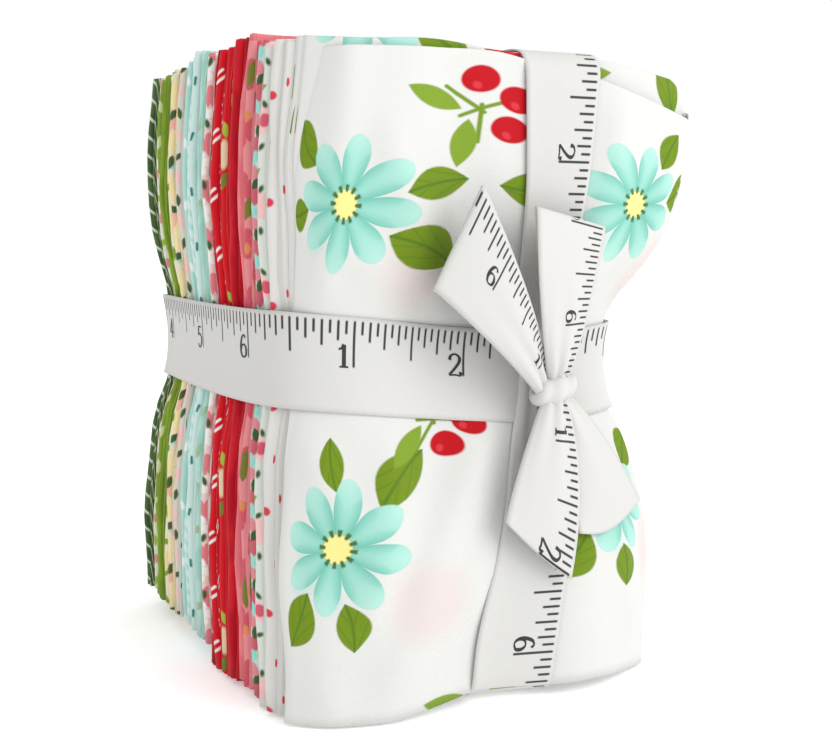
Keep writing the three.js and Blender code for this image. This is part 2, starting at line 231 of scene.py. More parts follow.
def shell(grid, thickness, uv, back_uv=None):
    """A sheet of some thickness round a grid: two skins half the thickness off it on either
    side, joined by a rim along the four borders.  Returns points, quads and each corner's UV."""
    rows, cols = grid.shape[:2]
    half = normals(grid) * (thickness / 2)
    points = np.concatenate([(grid + half).reshape(-1, 3), (grid - half).reshape(-1, 3)])
    index = np.arange(rows * cols).reshape(rows, cols)
    a, b, c, d = index[:-1, :-1], index[1:, :-1], index[1:, 1:], index[:-1, 1:]
    front = np.stack([a, b, c, d], axis=-1).reshape(-1, 4)
    back = front[:, ::-1] + rows * cols
    border = np.concatenate([index[:-1, 0], index[-1, :-1], index[:0:-1, -1], index[0, :0:-1]])
    following = np.roll(border, -1)
    rim = np.stack([following, border, border + rows * cols, following + rows * cols], axis=-1)
    other = uv if back_uv is None else back_uv
    flat = np.concatenate([uv.reshape(-1, 2), other.reshape(-1, 2)])
    rim_uv = flat[rim] if back_uv is None else np.full((len(rim), 4, 2), BLANK)
    corner_uv = np.concatenate([flat[front], flat[back], rim_uv])
    return points, np.concatenate([front, back, rim]), corner_uv


def added(name, data):
    """A new object at the origin, in the scene."""
    thing = bpy.data.objects.new(name, data)
    bpy.context.scene.collection.objects.link(thing)
    return thing


def mesh_object(name, points, quads, corner_uv, materials, slots=None):
    """An object at the origin from points in mm, four-cornered faces and a UV for each corner."""
    mesh = bpy.data.meshes.new(name)
    mesh.from_pydata((points * MM).tolist(), [], quads.tolist())
    layer = mesh.uv_layers.new(name="cloth")
    layer.data.foreach_set("uv", np.ascontiguousarray(corner_uv.reshape(-1), np.float32))
    mesh.polygons.foreach_set("use_smooth", np.ones(len(quads), bool))
    if slots is not None:
        mesh.polygons.foreach_set("material_index", np.asarray(slots, np.int32))
    for material in materials:
        mesh.materials.append(material)
    mesh.update()
    return added(name, mesh)


def shader_of(owner, kind, **values):
    """Turns on the nodes of a material or a world, and sets values on its shader's own sockets,
    whose names have underscores for spaces."""
    owner.use_nodes = True
    shader = next(n for n in owner.node_tree.nodes if n.type == kind)
    for name, value in values.items():
        shader.inputs[name.replace("_", " ")].default_value = value
    return shader


# ---- shader maths ---------------------------------------------------------------------------


class Term:
    """A socket of a node tree.  Arithmetic on it adds Math nodes."""

    def __init__(self, tree, socket):
        self.tree, self.socket = tree, socket

    def node(self, kind, settings=None, inputs=None, output=0):
        """Adds a node of a kind, with its settings made first, then its sockets fed."""
        made = self.tree.nodes.new(kind)
        for name, value in (settings or {}).items():
            setattr(made, name, value)
        for key, value in (inputs or {}).items():
            if isinstance(value, Term):
                self.tree.links.new(value.socket, made.inputs[key])
            else:
                made.inputs[key].default_value = value
        return Term(self.tree, made.outputs[output])

    def math(self, operation, *values, clamp=False):
        """One Math node, whose first value is this term."""
        settings = {"operation": operation, "use_clamp": clamp}
        return self.node("ShaderNodeMath", settings, dict(enumerate((self, *values))))

    def __add__(self, other):
        return self.math("ADD", other)

    __radd__ = __add__

    def __sub__(self, other):
        return self.math("SUBTRACT", other)

    def __rsub__(self, other):
        return self.math("MULTIPLY_ADD", -1.0, other)

    def __mul__(self, other):
        return self.math("MULTIPLY", other)

    __rmul__ = __mul__

    def __truediv__(self, other):
        return self.math("DIVIDE", other)

    def __lt__(self, other):
        return self.math("LESS_THAN", other)

    def __abs__(self):
        return self.math("ABSOLUTE")

    def inside(self, blur):
        """1 where the term is under 0 and 0 where it is over, blurred over a width."""
        return self.math("MULTIPLY_ADD", -1.0 / blur, 0.5, clamp=True)

    def over(self, ground, mask):
        """This colour laid over a ground where the mask is 1."""
        settings = {"data_type": "RGBA"}
        return self.node("ShaderNodeMix", settings, {0: mask, 6: ground, 7: self}, output=2)


BRIGHT = 0.87  # share of a listed colour that its cloth sends back, as the light is over 1


def rgb(code):
    """Linear colour of a six-figure code, by the usual screen curve, dimmed to BRIGHT."""
    parts = [int(code[i : i + 2], 16) / 255 for i in (0, 2, 4)]
    linear = (p / 12.92 if p <= 0.04045 else ((p + 0.055) / 1.055) ** 2.4 for p in parts)
    return (*(BRIGHT * p for p in linear), 1.0)


def plain(term, code):
    """A plain colour from its code, in the node tree of a term."""
    colour = term.node("ShaderNodeRGB")
    colour.socket.default_value = rgb(code)
    return colour


def longer(a, b):
    """Length of the vector with parts a and b."""
    return (a * a + b * b).math("SQRT")


def turned(a, b, degrees):
    """The pair a, b in axes turned by an angle in degrees."""
    c, s = math.cos(math.radians(degrees)), math.sin(math.radians(degrees))
    return a * c + b * s, b * c - a * s


def swung(a, b, angle):
    """The pair a, b in axes turned by an angle in radians that is a term itself."""
    c, s = angle.math("COSINE"), angle.math("SINE")
    return a * c + b * s, b * c - a * s


def repeated(u, v, pitch, at=(0.0, 0.0), drop=0.5):
    """Places inside the cells of a drop repeat, from each cell's middle, and the cell's own
    random number.  Each column starts a share of the pitch above the one before."""
    column = (u - at[0]) / pitch[0]
    number = column.math("ROUND")
    row = (v - at[1]) / pitch[1] - number * drop
    step = row.math("ROUND")
    cell = number.node("ShaderNodeCombineXYZ", None, {0: number, 1: step})
    chance = cell.node("ShaderNodeTexWhiteNoise", {"noise_dimensions": "2D"}, {"Vector": cell})
    return (column - number) * pitch[0], (row - step) * pitch[1], chance


def spot(a, b, width, height, blur=0.35):
    """Mask of an oval: the distance from its middle, with each part over its half width."""
    return (longer(a / (width / 2), b / (height / 2)) - 1).inside(2 * blur / min(width, height))


def dash(a, b, length, width, blur=0.3):
    """Mask of a stroke with round ends: the distance from a straight line."""
    beyond = (abs(a) - (length - width) / 2).math("MAXIMUM", 0.0)
    return (longer(beyond, b) - width / 2).inside(blur)


def pair(a, b, length, width, apart):
    """Mask of two strokes side by side, each set off by apart."""
    return dash(a, b - apart, length, width).math("MAXIMUM", dash(a, b + apart, length, width))


def leaf(a, b, length, width, blur=0.35):
    """Mask of a leaf between two parabolas that meet at its tips."""
    along = a / (length / 2)
    return (abs(b) - (1 - along * along) * (width / 2)).inside(blur)


PETAL_ROUND = 0.55  # the further under 1, the rounder the petals' tips
PETAL_SHARE = 0.62  # share of a flower's radius that its petals stand past their gaps


def petals(a, b, radius, count, turn=0.0, blur=0.4):
    """Rounded petals: the outline's radius swings with the absolute cosine of the angle."""
    angle = b.math("ARCTAN2", a) * (count / 2) + turn
    swing = abs(angle.math("COSINE")).math("POWER", PETAL_ROUND)
    return (longer(a, b) - (swing * PETAL_SHARE + (1 - PETAL_SHARE)) * radius).inside(blur)


MOTIFS = {"spot": spot, "dash": dash, "pair": pair, "leaf": leaf, "petals": petals}
STRIPE_BLUR, CLOUD_BLUR = 0.3, 0.12


def pattern(kind, u, v, pitch, size, at=(0, 0), degrees=0, turn_each=0):
    """Mask of one layer of a print: stripes, clouds, or a motif in each cell of its repeat."""
    if kind == "stripe":
        a, _ = turned(u, v, degrees)
        off = abs(a - (a / pitch[0]).math("ROUND") * pitch[0])
        return (off - size[0] / 2).inside(STRIPE_BLUR)
    if kind == "cloud":
        place = u.node("ShaderNodeCombineXYZ", None, {0: u / pitch[0], 1: v / pitch[1]})
        noise = u.node("ShaderNodeTexNoise", None, {"Vector": place, "Scale": 1.0, "Detail": 2.0})
        return (size[0] - noise).inside(CLOUD_BLUR)
    a, b, chance = repeated(u, v, pitch, at)
    if turn_each:
        a, b = swung(a, b, (chance - 0.5) * (2 * math.radians(turn_each)))
    return MOTIFS[kind](*turned(a, b, degrees), *size)


WHITE, CREAM, GREY = "d8d7d3", "e4dabc", "d4d2c6"
RED, DEEP_RED, PINK, PALE_PINK = "cc0418", "a00016", "de7d84", "eec3c2"
GREEN, DARK_GREEN, LIME = "7d9b26", "3d5a2e", "9db93e"
AQUA, PALE_AQUA, TEAL = "93d8cb", "cbe3de", "2f7f78"
YELLOW, OLIVE = "eedca4", "75762c"

# The prints, ground first and then each layer: kind, colour, pitch of the repeat, size of the
# motif, where the repeat starts, its turn in degrees, and how far each motif may turn on its own.
PRINTS = {
    "white_dots": (WHITE, ("spot", "d23a4a", (7, 20), (1.7, 1.7), (-0.5, 3), 0, 0)),
    "white_sprig": (
        "d6dcd4",
        ("spot", PALE_PINK, (8, 16), (3.4, 5.5), (-0.6, 7), 20, 30),
        ("spot", "d4586a", (8, 32), (2.2, 2.6), (-1.0, 23), 0, 0),
        ("leaf", GREEN, (8, 16), (3.2, 1.3), (0.6, 1), 55, 40),
        ("spot", DARK_GREEN, (8, 8), (0.9, 1.6), (-0.8, 4), 0, 60),
    ),
    "aqua_floral": (
        "cfdfd9",
        ("leaf", "c8606e", (7, 10), (6.5, 2.6), (-0.6, 2), 62, 10),
        ("leaf", "d98a90", (7, 10), (6.0, 2.2), (-0.2, 7), -58, 10),
        ("leaf", DARK_GREEN, (7, 10), (2.8, 1.5), (-1.0, 9.5), 70, 40),
        ("spot", AQUA, (7, 10), (2.0, 3.0), (-0.2, 4.6), 0, 40),
    ),
    "dusty_pink": (
        "e08a8f",
        ("petals", "cc5462", (8, 11), (3.2, 5), (-0.2, 3), 0, 90),
        ("leaf", OLIVE, (8, 26), (6.5, 2.6), (-1.0, 9), 75, 20),
        ("spot", "d98a54", (8, 26), (1.4, 2.2), (-0.8, 17), 0, 0),
    ),
    "pink": ("e58388", ("cloud", "dc6e78", (2.2, 9), (0.5,))),
    "crimson": ("cc1426", ("cloud", "b4001a", (3, 11), (0.46,))),
    "red_floral": (
        RED,
        ("spot", "dccba6", (8, 34), (2.4, 6.0), (-0.8, 6), 6, 14),
        ("leaf", OLIVE, (8, 34), (4.6, 2.0), (-0.5, 11.5), 75, 20),
        ("leaf", LIME, (8, 34), (3.4, 1.5), (-0.9, 1), -60, 20),
    ),
    "candy_red": (RED, ("pair", "f0ece8", (6, 12), (3.0, 0.55, 0.72), (-0.7, 2), 40, 0)),
    "deep_red": (
        "b80418",
        ("dash", "f0ece8", (7, 17), (2.2, 0.6), (-0.8, 6), 40, 50),
        ("cloud", DEEP_RED, (3, 6), (0.5,)),
    ),
    "pale_pink": (
        "e8cfc9",
        ("petals", PINK, (6, 10), (2.6, 5), (-1.2, 2), 0, 60),
        ("petals", "f0ece8", (6, 10), (2.8, 5), (0.4, 6), 0, 60),
        ("spot", DARK_GREEN, (6, 13), (1.2, 2.2), (-0.7, 4.5), 0, 30),
    ),
    "aqua_green": (
        "b4dbd0",
        ("leaf", "9fb58a", (6, 9), (4.0, 1.6), (-0.7, 3), 70, 40),
        ("cloud", "9fd0c2", (3, 8), (0.5,)),
    ),
    "pale_aqua_dash": (PALE_AQUA, ("dash", TEAL, (5, 12), (2.0, 0.7), (-0.8, 3), 80, 20)),
    "pale_aqua": ("d6e8e4", ("stripe", "b9ddd7", (2.4, 0), (1.1,), (0, 0), 52, 0)),
    "aqua": ("addbd1", ("spot", "e8efec", (6, 14), (1.2, 2.4), (-0.7, 5), 0, 30)),
    "grey_cream": (
        GREY,
        ("leaf", DARK_GREEN, (6, 10), (3.0, 1.3), (-0.7, 3), 60, 50),
        ("spot", PALE_PINK, (6, 10), (2.4, 3.4), (-0.7, 8), 0, 40),
    ),
    "cream_floral": (
        CREAM,
        ("petals", YELLOW, (7, 11), (3.4, 5), (-0.4, 2), 0, 90),
        ("petals", "eab0a0", (7, 22), (3.0, 5), (-0.6, 8), 0, 90),
        ("spot", AQUA, (7, 22), (1.8, 2.6), (-0.9, 18), 0, 40),
        ("leaf", DARK_GREEN, (7, 11), (3.6, 1.7), (-0.8, 6.6), 35, 40),
    ),
    "cream_leaf": (
        "e9e3ca",
        ("leaf", GREEN, (6, 8), (3.8, 1.5), (-0.5, 3), 60, 50),
        ("petals", YELLOW, (9, 21), (3.0, 5), (-0.6, 8), 0, 0),
    ),
    "bright_green": (GREEN, ("cloud", "6d8a1e", (2.5, 9), (0.5,))),
    "green_leaf": ("7f9a30", ("leaf", "c6d394", (6, 9), (4.2, 1.6), (-0.6, 3), 62, 60)),
    "pale_green": (
        "dfe2cc",
        ("leaf", LIME, (6, 11), (3.4, 1.5), (-0.6, 4), 50, 60),
        ("spot", "d98f8c", (6, 11), (1.6, 2.4), (-0.8, 9), 0, 0),
    ),
    "dark_green": (
        DARK_GREEN,
        ("cloud", "4e6b3a", (3, 9), (0.5,)),
        ("stripe", "d9dccb", (3.6, 0), (0.6,), (0, 0), 52, 0),
    ),
}


COTTON_ROUGH, TAPE_ROUGH, INK_ROUGH = 0.85, 0.7, 0.6
SHINE, SHEEN = 0.2, 0.08
THREAD_HIGH = 0.0002  # how high the threads stand, in metres


def cloth_material(name, roughness=COTTON_ROUGH):
    """A new material with its shader, and the two parts of the cloth's own UV map in mm."""
    material = bpy.data.materials.new(name)
    looks = {"Roughness": roughness, "Specular_IOR_Level": SHINE, "Sheen_Weight": SHEEN}
    shader = shader_of(material, "BSDF_PRINCIPLED", **looks)
    tree = material.node_tree
    place = Term(tree, tree.nodes.new("ShaderNodeUVMap").outputs[0])
    place.socket.node.uv_map = "cloth"
    u = place.node("ShaderNodeSeparateXYZ", None, {0: place}, output=0)
    v = Term(tree, u.socket.node.outputs[1])
    return material, shader, u, v


def plug(shader, name, term):
    """Links a term to a socket of a shader."""
    term.tree.links.new(term.socket, shader.inputs[name])


def weave(u, v, pitch, slant=0.0):
    """Height of a weave: threads over and under each other, or slanting ribs for a twill."""
    a, b = turned(u, v, slant)
    wave = (a * (TAU / pitch)).math("SINE")
    return wave * (b * (TAU / pitch)).math("SINE") if slant == 0 else wave


def paint(shader, colour, u, v, pitch=0.6, slant=0.0, strength=0.12):
    """Feeds a printed colour and the bump of its weave to a shader."""
    plug(shader, "Base Color", colour)
    height = weave(u, v, pitch, slant)
    inputs = {"Strength": strength, "Distance": THREAD_HIGH, "Height": height}
    plug(shader, "Normal", height.node("ShaderNodeBump", None, inputs))


def printed(name):
    """The material of one of the prints: its layers over its ground."""
    ground, *layers = PRINTS[name]
    material, shader, u, v = cloth_material(name)
    colour = plain(u, ground)
    for kind, tint, *sizes in layers:
        colour = plain(u, tint).over(colour, pattern(kind, u, v, *sizes))
    paint(shader, colour, u, v)
    return material


# The large print of the front cotton: daisies with leaves round them, and berries between.
# Its sizes are in mm from the middle of a daisy or of a cluster of berries.
DAISY_REPEAT, BERRY_REPEAT = (48.0, 66.0), (96.0, 66.0)
DAISY_START, BERRY_START = (-168.0, 101.0), (-142.0, 122.0)
DAISY_DROP = 0.1
WHITE_GROUND = "d5d5d2"
PETAL, PETAL_TIP, PETAL_GAP = "86c6b6", "b2dcd2", "67b3a4"
EYE, EYE_DOT = "f1df8c", "4e6a2a"
DAISY_LEAF, LEAF_VEIN = "6c8716", "55761a"
BERRY, GLINT, STALK, BERRY_LEAF = "b60214", "d43c48", "6f8c22", "7a972a"
DAISY_RADIUS, DAISY_PETALS, DAISY_TURN = 13.2, 8, 0.4
GAP_RADIUS, EYE_RADIUS, DOT_RADIUS = 11.0, 2.8, 3.1
TIP_START = 0.15  # share of the radius from which the petals get paler
GAP_SHARE = 0.8  # how much of the gaps' darker colour shows
DOT_COUNT, DOT_HALF = 12, 0.7
DOT_EDGE = 0.72  # sine of the angle at which a dot ends, where 1 is its middle
PETAL_BLUR, GAP_BLUR, EYE_BLUR, DOT_BLUR = 0.5, 1.2, 0.4, 0.3

# The leaves round a daisy: the way each points in degrees, its length and its width.
DAISY_LEAVES = ((20, 13, 8.6), (64, 10, 6.4), (190, 13, 8.0), (237, 10, 6.4))
LEAF_START, LEAF_BEND, LEAF_BLUR = 10.7, 0.02, 0.4
VEIN_STEP, VEIN_SLANT, VEIN_SHARE = 2.3, 0.45, 0.6
RIB_HALF, VEIN_HALF, VEIN_BLUR = 0.28, 0.16, 0.3

# The berries of a cluster: where each is, and the way its stalk points in degrees.  The leaves'
# table says where each leaf is and the way it points.
BERRIES = ((0.0, 0.0, 90), (5.2, 3.4, 20), (-5.0, 3.8, 150))
BERRY_SIZE, GLINT_SIZE, GLINT_AT, GLINT_SHARE = (5.2, 5.6), (1.5, 1.2), (-0.9, 1.0), 0.7
STALK_SIZE, STALK_UP = (8.0, 0.7), 5.4
BERRY_LEAF_SIZE = (9.5, 3.8)
BERRY_LEAVES = ((5.0, 11.0, 35), (-5.0, 11.0, 145))
BERRY_TURN = 2.4  # the most that a cluster is turned, in radians

# The print of the plies beneath, which shows through faintly, and how much of it shows.
THROUGH_START = (-156.0, 88.0)
THROUGH_PINK, THROUGH_AQUA = "dcaeae", "9fd0c6"
PINK_SHARE, AQUA_SHARE = 0.24, 0.3


def show_through(colour, u, v):
    """A pink spot and an aqua flower in each repeat, both blurred."""
    a, b, _ = repeated(u, v, DAISY_REPEAT, THROUGH_START, DAISY_DROP)
    pink = spot(a - 3, b, width=12, height=15, blur=4)
    aqua = petals(a + 15, b - 9, radius=9, count=5, turn=0.4, blur=2)
    colour = plain(u, THROUGH_PINK).over(colour, pink * PINK_SHARE)
    return plain(u, THROUGH_AQUA).over(colour, aqua * AQUA_SHARE)


def daisy_leaves(colour, a, b):
    """The leaves round a daisy, each bent along a parabola, with a rib and slanting veins."""
    for degrees, length, width in DAISY_LEAVES:
        along, beside = turned(a, b, degrees)
        along = along - (LEAF_START + length / 2)
        bent = beside + (along * along) * LEAF_BEND
        blade = leaf(along, bent, length, width, LEAF_BLUR)
        colour = plain(a, DAISY_LEAF).over(colour, blade)
        rib = (abs(bent) - RIB_HALF).inside(VEIN_BLUR) * blade
        slanted = along * VEIN_SLANT + abs(beside)
        vein = abs(slanted - (slanted / VEIN_STEP).math("ROUND") * VEIN_STEP)
        veins = (vein - VEIN_HALF).inside(VEIN_BLUR) * blade
        colour = plain(a, LEAF_VEIN).over(colour, rib.math("MAXIMUM", veins * VEIN_SHARE))
    return colour


def daisy(colour, a, b):
    """A daisy: petals that are paler along their middles and darker in their gaps, and a round
    eye with a ring of dots."""
    away, angle = longer(a, b), b.math("ARCTAN2", a)
    bloom = petals(a, b, DAISY_RADIUS, DAISY_PETALS, DAISY_TURN, PETAL_BLUR)
    colour = plain(a, PETAL).over(colour, bloom)
    ray = abs((angle * (DAISY_PETALS / 2) + DAISY_TURN).math("COSINE"))
    outer = (away / DAISY_RADIUS).math("SUBTRACT", TIP_START, clamp=True)
    colour = plain(a, PETAL_TIP).over(colour, bloom * outer * ray)
    gap = petals(a, b, GAP_RADIUS, DAISY_PETALS, DAISY_TURN + math.pi / 2, GAP_BLUR)
    colour = plain(a, PETAL_GAP).over(colour, bloom * gap * (1 - ray) * GAP_SHARE)
    colour = plain(a, EYE).over(colour, (away - EYE_RADIUS).inside(EYE_BLUR))
    spoke = abs((angle * (DOT_COUNT / 2)).math("SINE"))
    ring = (abs(away - DOT_RADIUS) - DOT_HALF).inside(EYE_BLUR)
    return plain(a, EYE_DOT).over(colour, ring * (DOT_EDGE - spoke).inside(DOT_BLUR))


def berries(colour, a, b):
    """Three berries with a glint on each, on stalks that meet between two leaves."""
    for x, y, degrees in BERRIES:
        stalk = dash(*turned(a - x / 2, b - (y / 2 + STALK_UP), degrees), *STALK_SIZE)
        colour = plain(a, STALK).over(colour, stalk)
        colour = plain(a, BERRY).over(colour, spot(a - x, b - y, *BERRY_SIZE))
        glint = spot(a - x - GLINT_AT[0], b - y - GLINT_AT[1], *GLINT_SIZE)
        colour = plain(a, GLINT).over(colour, glint * GLINT_SHARE)
    for x, y, degrees in BERRY_LEAVES:
        blade = leaf(*turned(a - x, b - y, degrees), *BERRY_LEAF_SIZE)
        colour = plain(a, BERRY_LEAF).over(colour, blade)
    return colour


def white_floral():
    """The front cotton's material.  Each daisy and each cluster is turned by its own chance."""
    material, shader, u, v = cloth_material("white_floral")
    colour = show_through(plain(u, WHITE_GROUND), u, v)
    a, b, chance = repeated(u, v, DAISY_REPEAT, DAISY_START, DAISY_DROP)
    a, b = swung(a, b, chance * TAU)
    colour = daisy(daisy_leaves(colour, a, b), a, b)
    a, b, chance = repeated(u, v, BERRY_REPEAT, BERRY_START, DAISY_DROP)
    a, b = swung(a, b, chance * BERRY_TURN)
    colour = berries(colour, a, b)
    paint(shader, colour, u, v, strength=0.1)
    return material


# ---- the cottons ----------------------------------------------------------------------------

PLY = 0.2  # thickness of the cloth
RUNS = 4  # times that a cotton goes up or down
PANEL_LENGTH = 92.0  # from a free edge or a fold to the next fold
TURN_LENGTH, PLY_TURN_LENGTH = 3.0, 1.4  # round a fold between panels, and between plies
PANEL, WIDE_PANEL, SLIT = 0.265, 0.42, 0.055  # shares of a cotton's depth
SHORT_ENDS = (0.39, 0.47)  # where the third panel stops
WIDENING = 0.3  # how far on from there the other two take up its room
FOLD_REACH, END_REACH = 1.1, 0.5  # how far a fold bulges, between panels and between plies
TUCK_POWER = 8  # the higher, the nearer to its folds a panel is drawn in
RISE_FADE = 0.6  # share of a cotton's rise that is lost on the way to the open side
TOP_SPREAD, FOOT_SPREAD = (-0.7, 0.0), (0.0, 0.8)  # how unevenly the plies' folds end
OUTER_FOOT = 0.1  # the same for the two outermost feet
LOWEST = 0.12  # no middle of a ply is lower than this

# No cotton stands higher than this where the ribbon crosses it, at this share of the width.
UNDER_RIBBON, CROSSING, CROSSING_HALF = 131.0, 0.61, 0.18

# The points along a panel, a fold between panels, a run and a fold between plies.
STEPS, FIRST_STEPS = (18, 6, 22, 3), (60, 8, 48, 4)

# One row for each cotton, from the front: its depth against the others', how far it stands above
# the pile's top and off the surface at the fold side, how far its folds are set in, and how far
# its front panel's free edge is set in at the foot and at the top.
COTTONS = columns(
    "share rise lift fold edge_foot edge_top",
    (1.05, 2.4, 0.0, 2.5, 0.9, 4.4),
    (1.0, 2.0, 0.5, 0.2, 1.6, 1.2),
    (1.0, 2.0, 0.0, 0.3, 1.1, 1.5),
    (1.0, 2.4, 0.8, 0.8, 1.8, 1.3),
    (0.86, 3.4, 1.6, 0.4, 1.0, 1.9),
    (0.86, 4.8, 2.0, 0.9, 1.5, 1.1),
    (1.12, 5.0, 1.4, 0.3, 1.3, 1.6),
    (1.0, 3.4, 0.8, 0.4, 0.8, 1.0),
    (1.12, 3.6, 0.2, 0.0, 0.7, 1.2),
    (0.92, 3.6, 0.0, 1.2, 1.4, 0.9),
    (1.06, 3.4, 3.2, 0.6, 1.9, 2.2),
    (0.95, 4.6, 3.8, 0.5, 1.2, 0.8),
    (0.98, 4.6, 4.0, 0.1, 0.9, 1.5),
    (0.93, 4.2, 4.2, 0.7, 1.6, 1.1),
    (0.9, 3.6, 4.3, 1.0, 1.5, 1.8),
    (1.1, 2.4, 4.3, 0.4, 1.0, 1.4),
    (1.15, 2.4, 4.2, 0.0, 0.8, 1.2),
    (1.08, 1.9, 4.4, 0.9, 1.7, 1.5),
    (1.04, 1.9, 4.5, 0.3, 1.1, 0.9),
    (1.0, 1.4, 4.4, 0.8, 1.4, 1.6),
    (0.94, 2.6, 4.6, 1.4, 2.1, 1.8),
    (0.96, 2.4, 4.8, 0.2, 1.0, 1.3),
)

# Height of the front panel's own top edge, which droops on the open side of the ribbon.
FRONT_TOP = columns(
    "across height",
    (0, 129.2),
    (0.12, 129.6),
    (0.3, 130.2),
    (0.46, 130.4),
    (0.54, 129.2),
    (0.64, 128.2),
    (0.72, 125.8),
    (0.85, 122.8),
    (1, 119.6),
)
FRONT_TOP_END = 110.0  # length along the strip at which that edge has met the rest
FRONT_TOP_BLEND = 22.0  # length over which it does so
EDGE_CURL, EDGE_ROUND = 0.75, 3.5  # how flat the front panel's plies close up at its free edge
EDGE_SHARE = 0.16  # share of the width over which the setting in of that edge fades
RUFFLE_SHARE = 0.07  # share of the width over which the waves of the sides fade
TOP_WAVE, EDGE_WAVE, PLY_WAVE, RUFFLE = 0.35, 0.25, 0.35, 0.3  # how high the small waves are
PUFF = 0.03  # the same for a cotton's faces, as a share of its depth
PUFF_SLANT = 60  # how far the waves of the faces climb over the width
FIRST_SEED = 40
SLOTS = ["white_floral", *PRINTS]


def panel_share(across, short_end):
    """Share of a cotton's depth that one panel fills, growing from the third panel's end."""
    t = np.clip((across - short_end) / WIDENING, 0, 1)
    return PANEL + (WIDE_PANEL - PANEL) * t * t * (3 - 2 * t)


def half_turn(steps):
    """Angles round a half turn, without its two ends."""
    return np.linspace(-math.pi / 2, math.pi / 2, steps + 2)[1:-1]


def joined(parts):
    """A path from its parts, each with the same rows.  The last row is the length, which runs
    on from part to part."""
    lengths = np.cumsum([0] + [part[-1][-1] for part in parts[:-1]])
    for part, before in zip(parts, lengths):
        part[-1] = part[-1] + before
    return [np.concatenate(row) for row in zip(*parts)]


def fold_path(start, thick, fold, short_end, per_panel, per_turn):
    """The middle line of a cotton's strip seen from above, and the way from it to its front
    skin: three panels joined by two half turns.  Every value is an array along the strip."""
    parts = []
    ends = ((0.0, 1.0), (1.0, 0.0), (0.0, short_end))
    for panel, (first, last) in enumerate(ends):
        across = first + (last - first) * (1 - np.cos(np.linspace(0, math.pi, per_panel))) / 2
        share = panel_share(across, short_end)
        depth = start + thick * (panel * (share + SLIT) + share / 2)
        ray = thick * share * (1 if panel == 1 else -1)
        reach = np.linspace(0, 1, per_panel)
        tuck = np.where(first < last, 1.0, -1.0) * (fold + FOLD_REACH)
        inset = (1 - reach) ** TUCK_POWER * (panel > 0) - reach**TUCK_POWER * (panel < 2)
        length = abs(last - first) * PANEL_LENGTH * reach
        parts.append([across, tuck * inset, depth, 0 * across, ray, length])
        if panel == 2:
            break
        share = panel_share(np.array([last]), short_end)[0]
        middle = start + thick * ((panel + 1) * (share + SLIT) - SLIT / 2)
        radius, outer = thick * (share + SLIT) / 2, thick * (share + SLIT / 2)
        turn = half_turn(per_turn)
        side = 1.0 if last == 1 else -1.0
        inset = side * (FOLD_REACH * (radius / outer * np.cos(turn) - 1) - fold)
        depth = middle + radius * np.sin(turn)
        ray_shift = FOLD_REACH / outer * thick * share * np.cos(turn)
        ray = side * thick * share * np.sin(turn)
        length = TURN_LENGTH * (turn / math.pi + 0.5)
        parts.append([last + 0 * turn, inset, depth, ray_shift, ray, length])
    return [row[:, None] for row in joined(parts)]


def run_path(rng, per_run, per_turn):
    """The strip's plies: its place between the two skins from -0.5 to 0.5, its share of the
    height, how far it stands past that, and its length so far."""
    plies = (np.arange(RUNS) + 0.5) / RUNS - 0.5
    tops = rng.uniform(*TOP_SPREAD, RUNS // 2 + 1)
    feet = rng.uniform(*FOOT_SPREAD, RUNS // 2 + 1)
    feet[0] = feet[-1] = OUTER_FOOT
    parts = []
    for run, ply in enumerate(plies):
        rising = run % 2 == 0
        t = np.linspace(0, 1, per_run) if rising else np.linspace(1, 0, per_run)
        top, foot = tops[run // 2], feet[(run + 1) // 2]
        past = top * t + foot * (1 - t) - END_REACH * (2 * t - 1)
        parts.append([ply + 0 * t, t, past, HEIGHT * np.linspace(0, 1, per_run)])
        if run < RUNS - 1:
            turn = half_turn(per_turn)
            offset = ply + (1 + np.sin(turn)) / (2 * RUNS)
            sign = 1.0 if rising else -1.0
            past = (top if rising else foot) + sign * END_REACH * (np.cos(turn) - 1)
            end = 1.0 if rising else 0.0
            length = PLY_TURN_LENGTH * (turn / math.pi + 0.5)
            parts.append([offset, end + 0 * turn, past, length])
    return [row[None, :] for row in joined(parts)]


def top_edge(rng, rise, across, u, first):
    """Height of a cotton's top edge: the pile's crown and the cotton's own rise, kept low under
    the ribbon.  The first cotton's front panel has an edge of its own."""
    wave = TOP_WAVE * waves(rng, across * PANEL_LENGTH, 31, 53)
    rise = rise * (1 - RISE_FADE * across) + wave
    top = HEIGHT + through(BENDS, "crown", across) + rise
    if first:
        own = np.clip((FRONT_TOP_END - u) / FRONT_TOP_BLEND, 0, 1)
        top = top + own * (through(FRONT_TOP, "height", across) - top)
    return top - bell(across - CROSSING, CROSSING_HALF, 4) * np.maximum(0, top - UNDER_RIBBON)


def free_edge(rng, foot, top, height, ply):
    """How far the front panel's free edge is set in: even up to half the height and then
    changing, with waves that differ from ply to ply."""
    edge = foot + (top - foot) * np.clip(2 * height / HEIGHT - 1, 0, 1)
    edge = edge + EDGE_WAVE * waves(rng, height, 27, 44)
    return edge + PLY_WAVE * (ply + 0.5) * waves(rng, height, 60, 91)


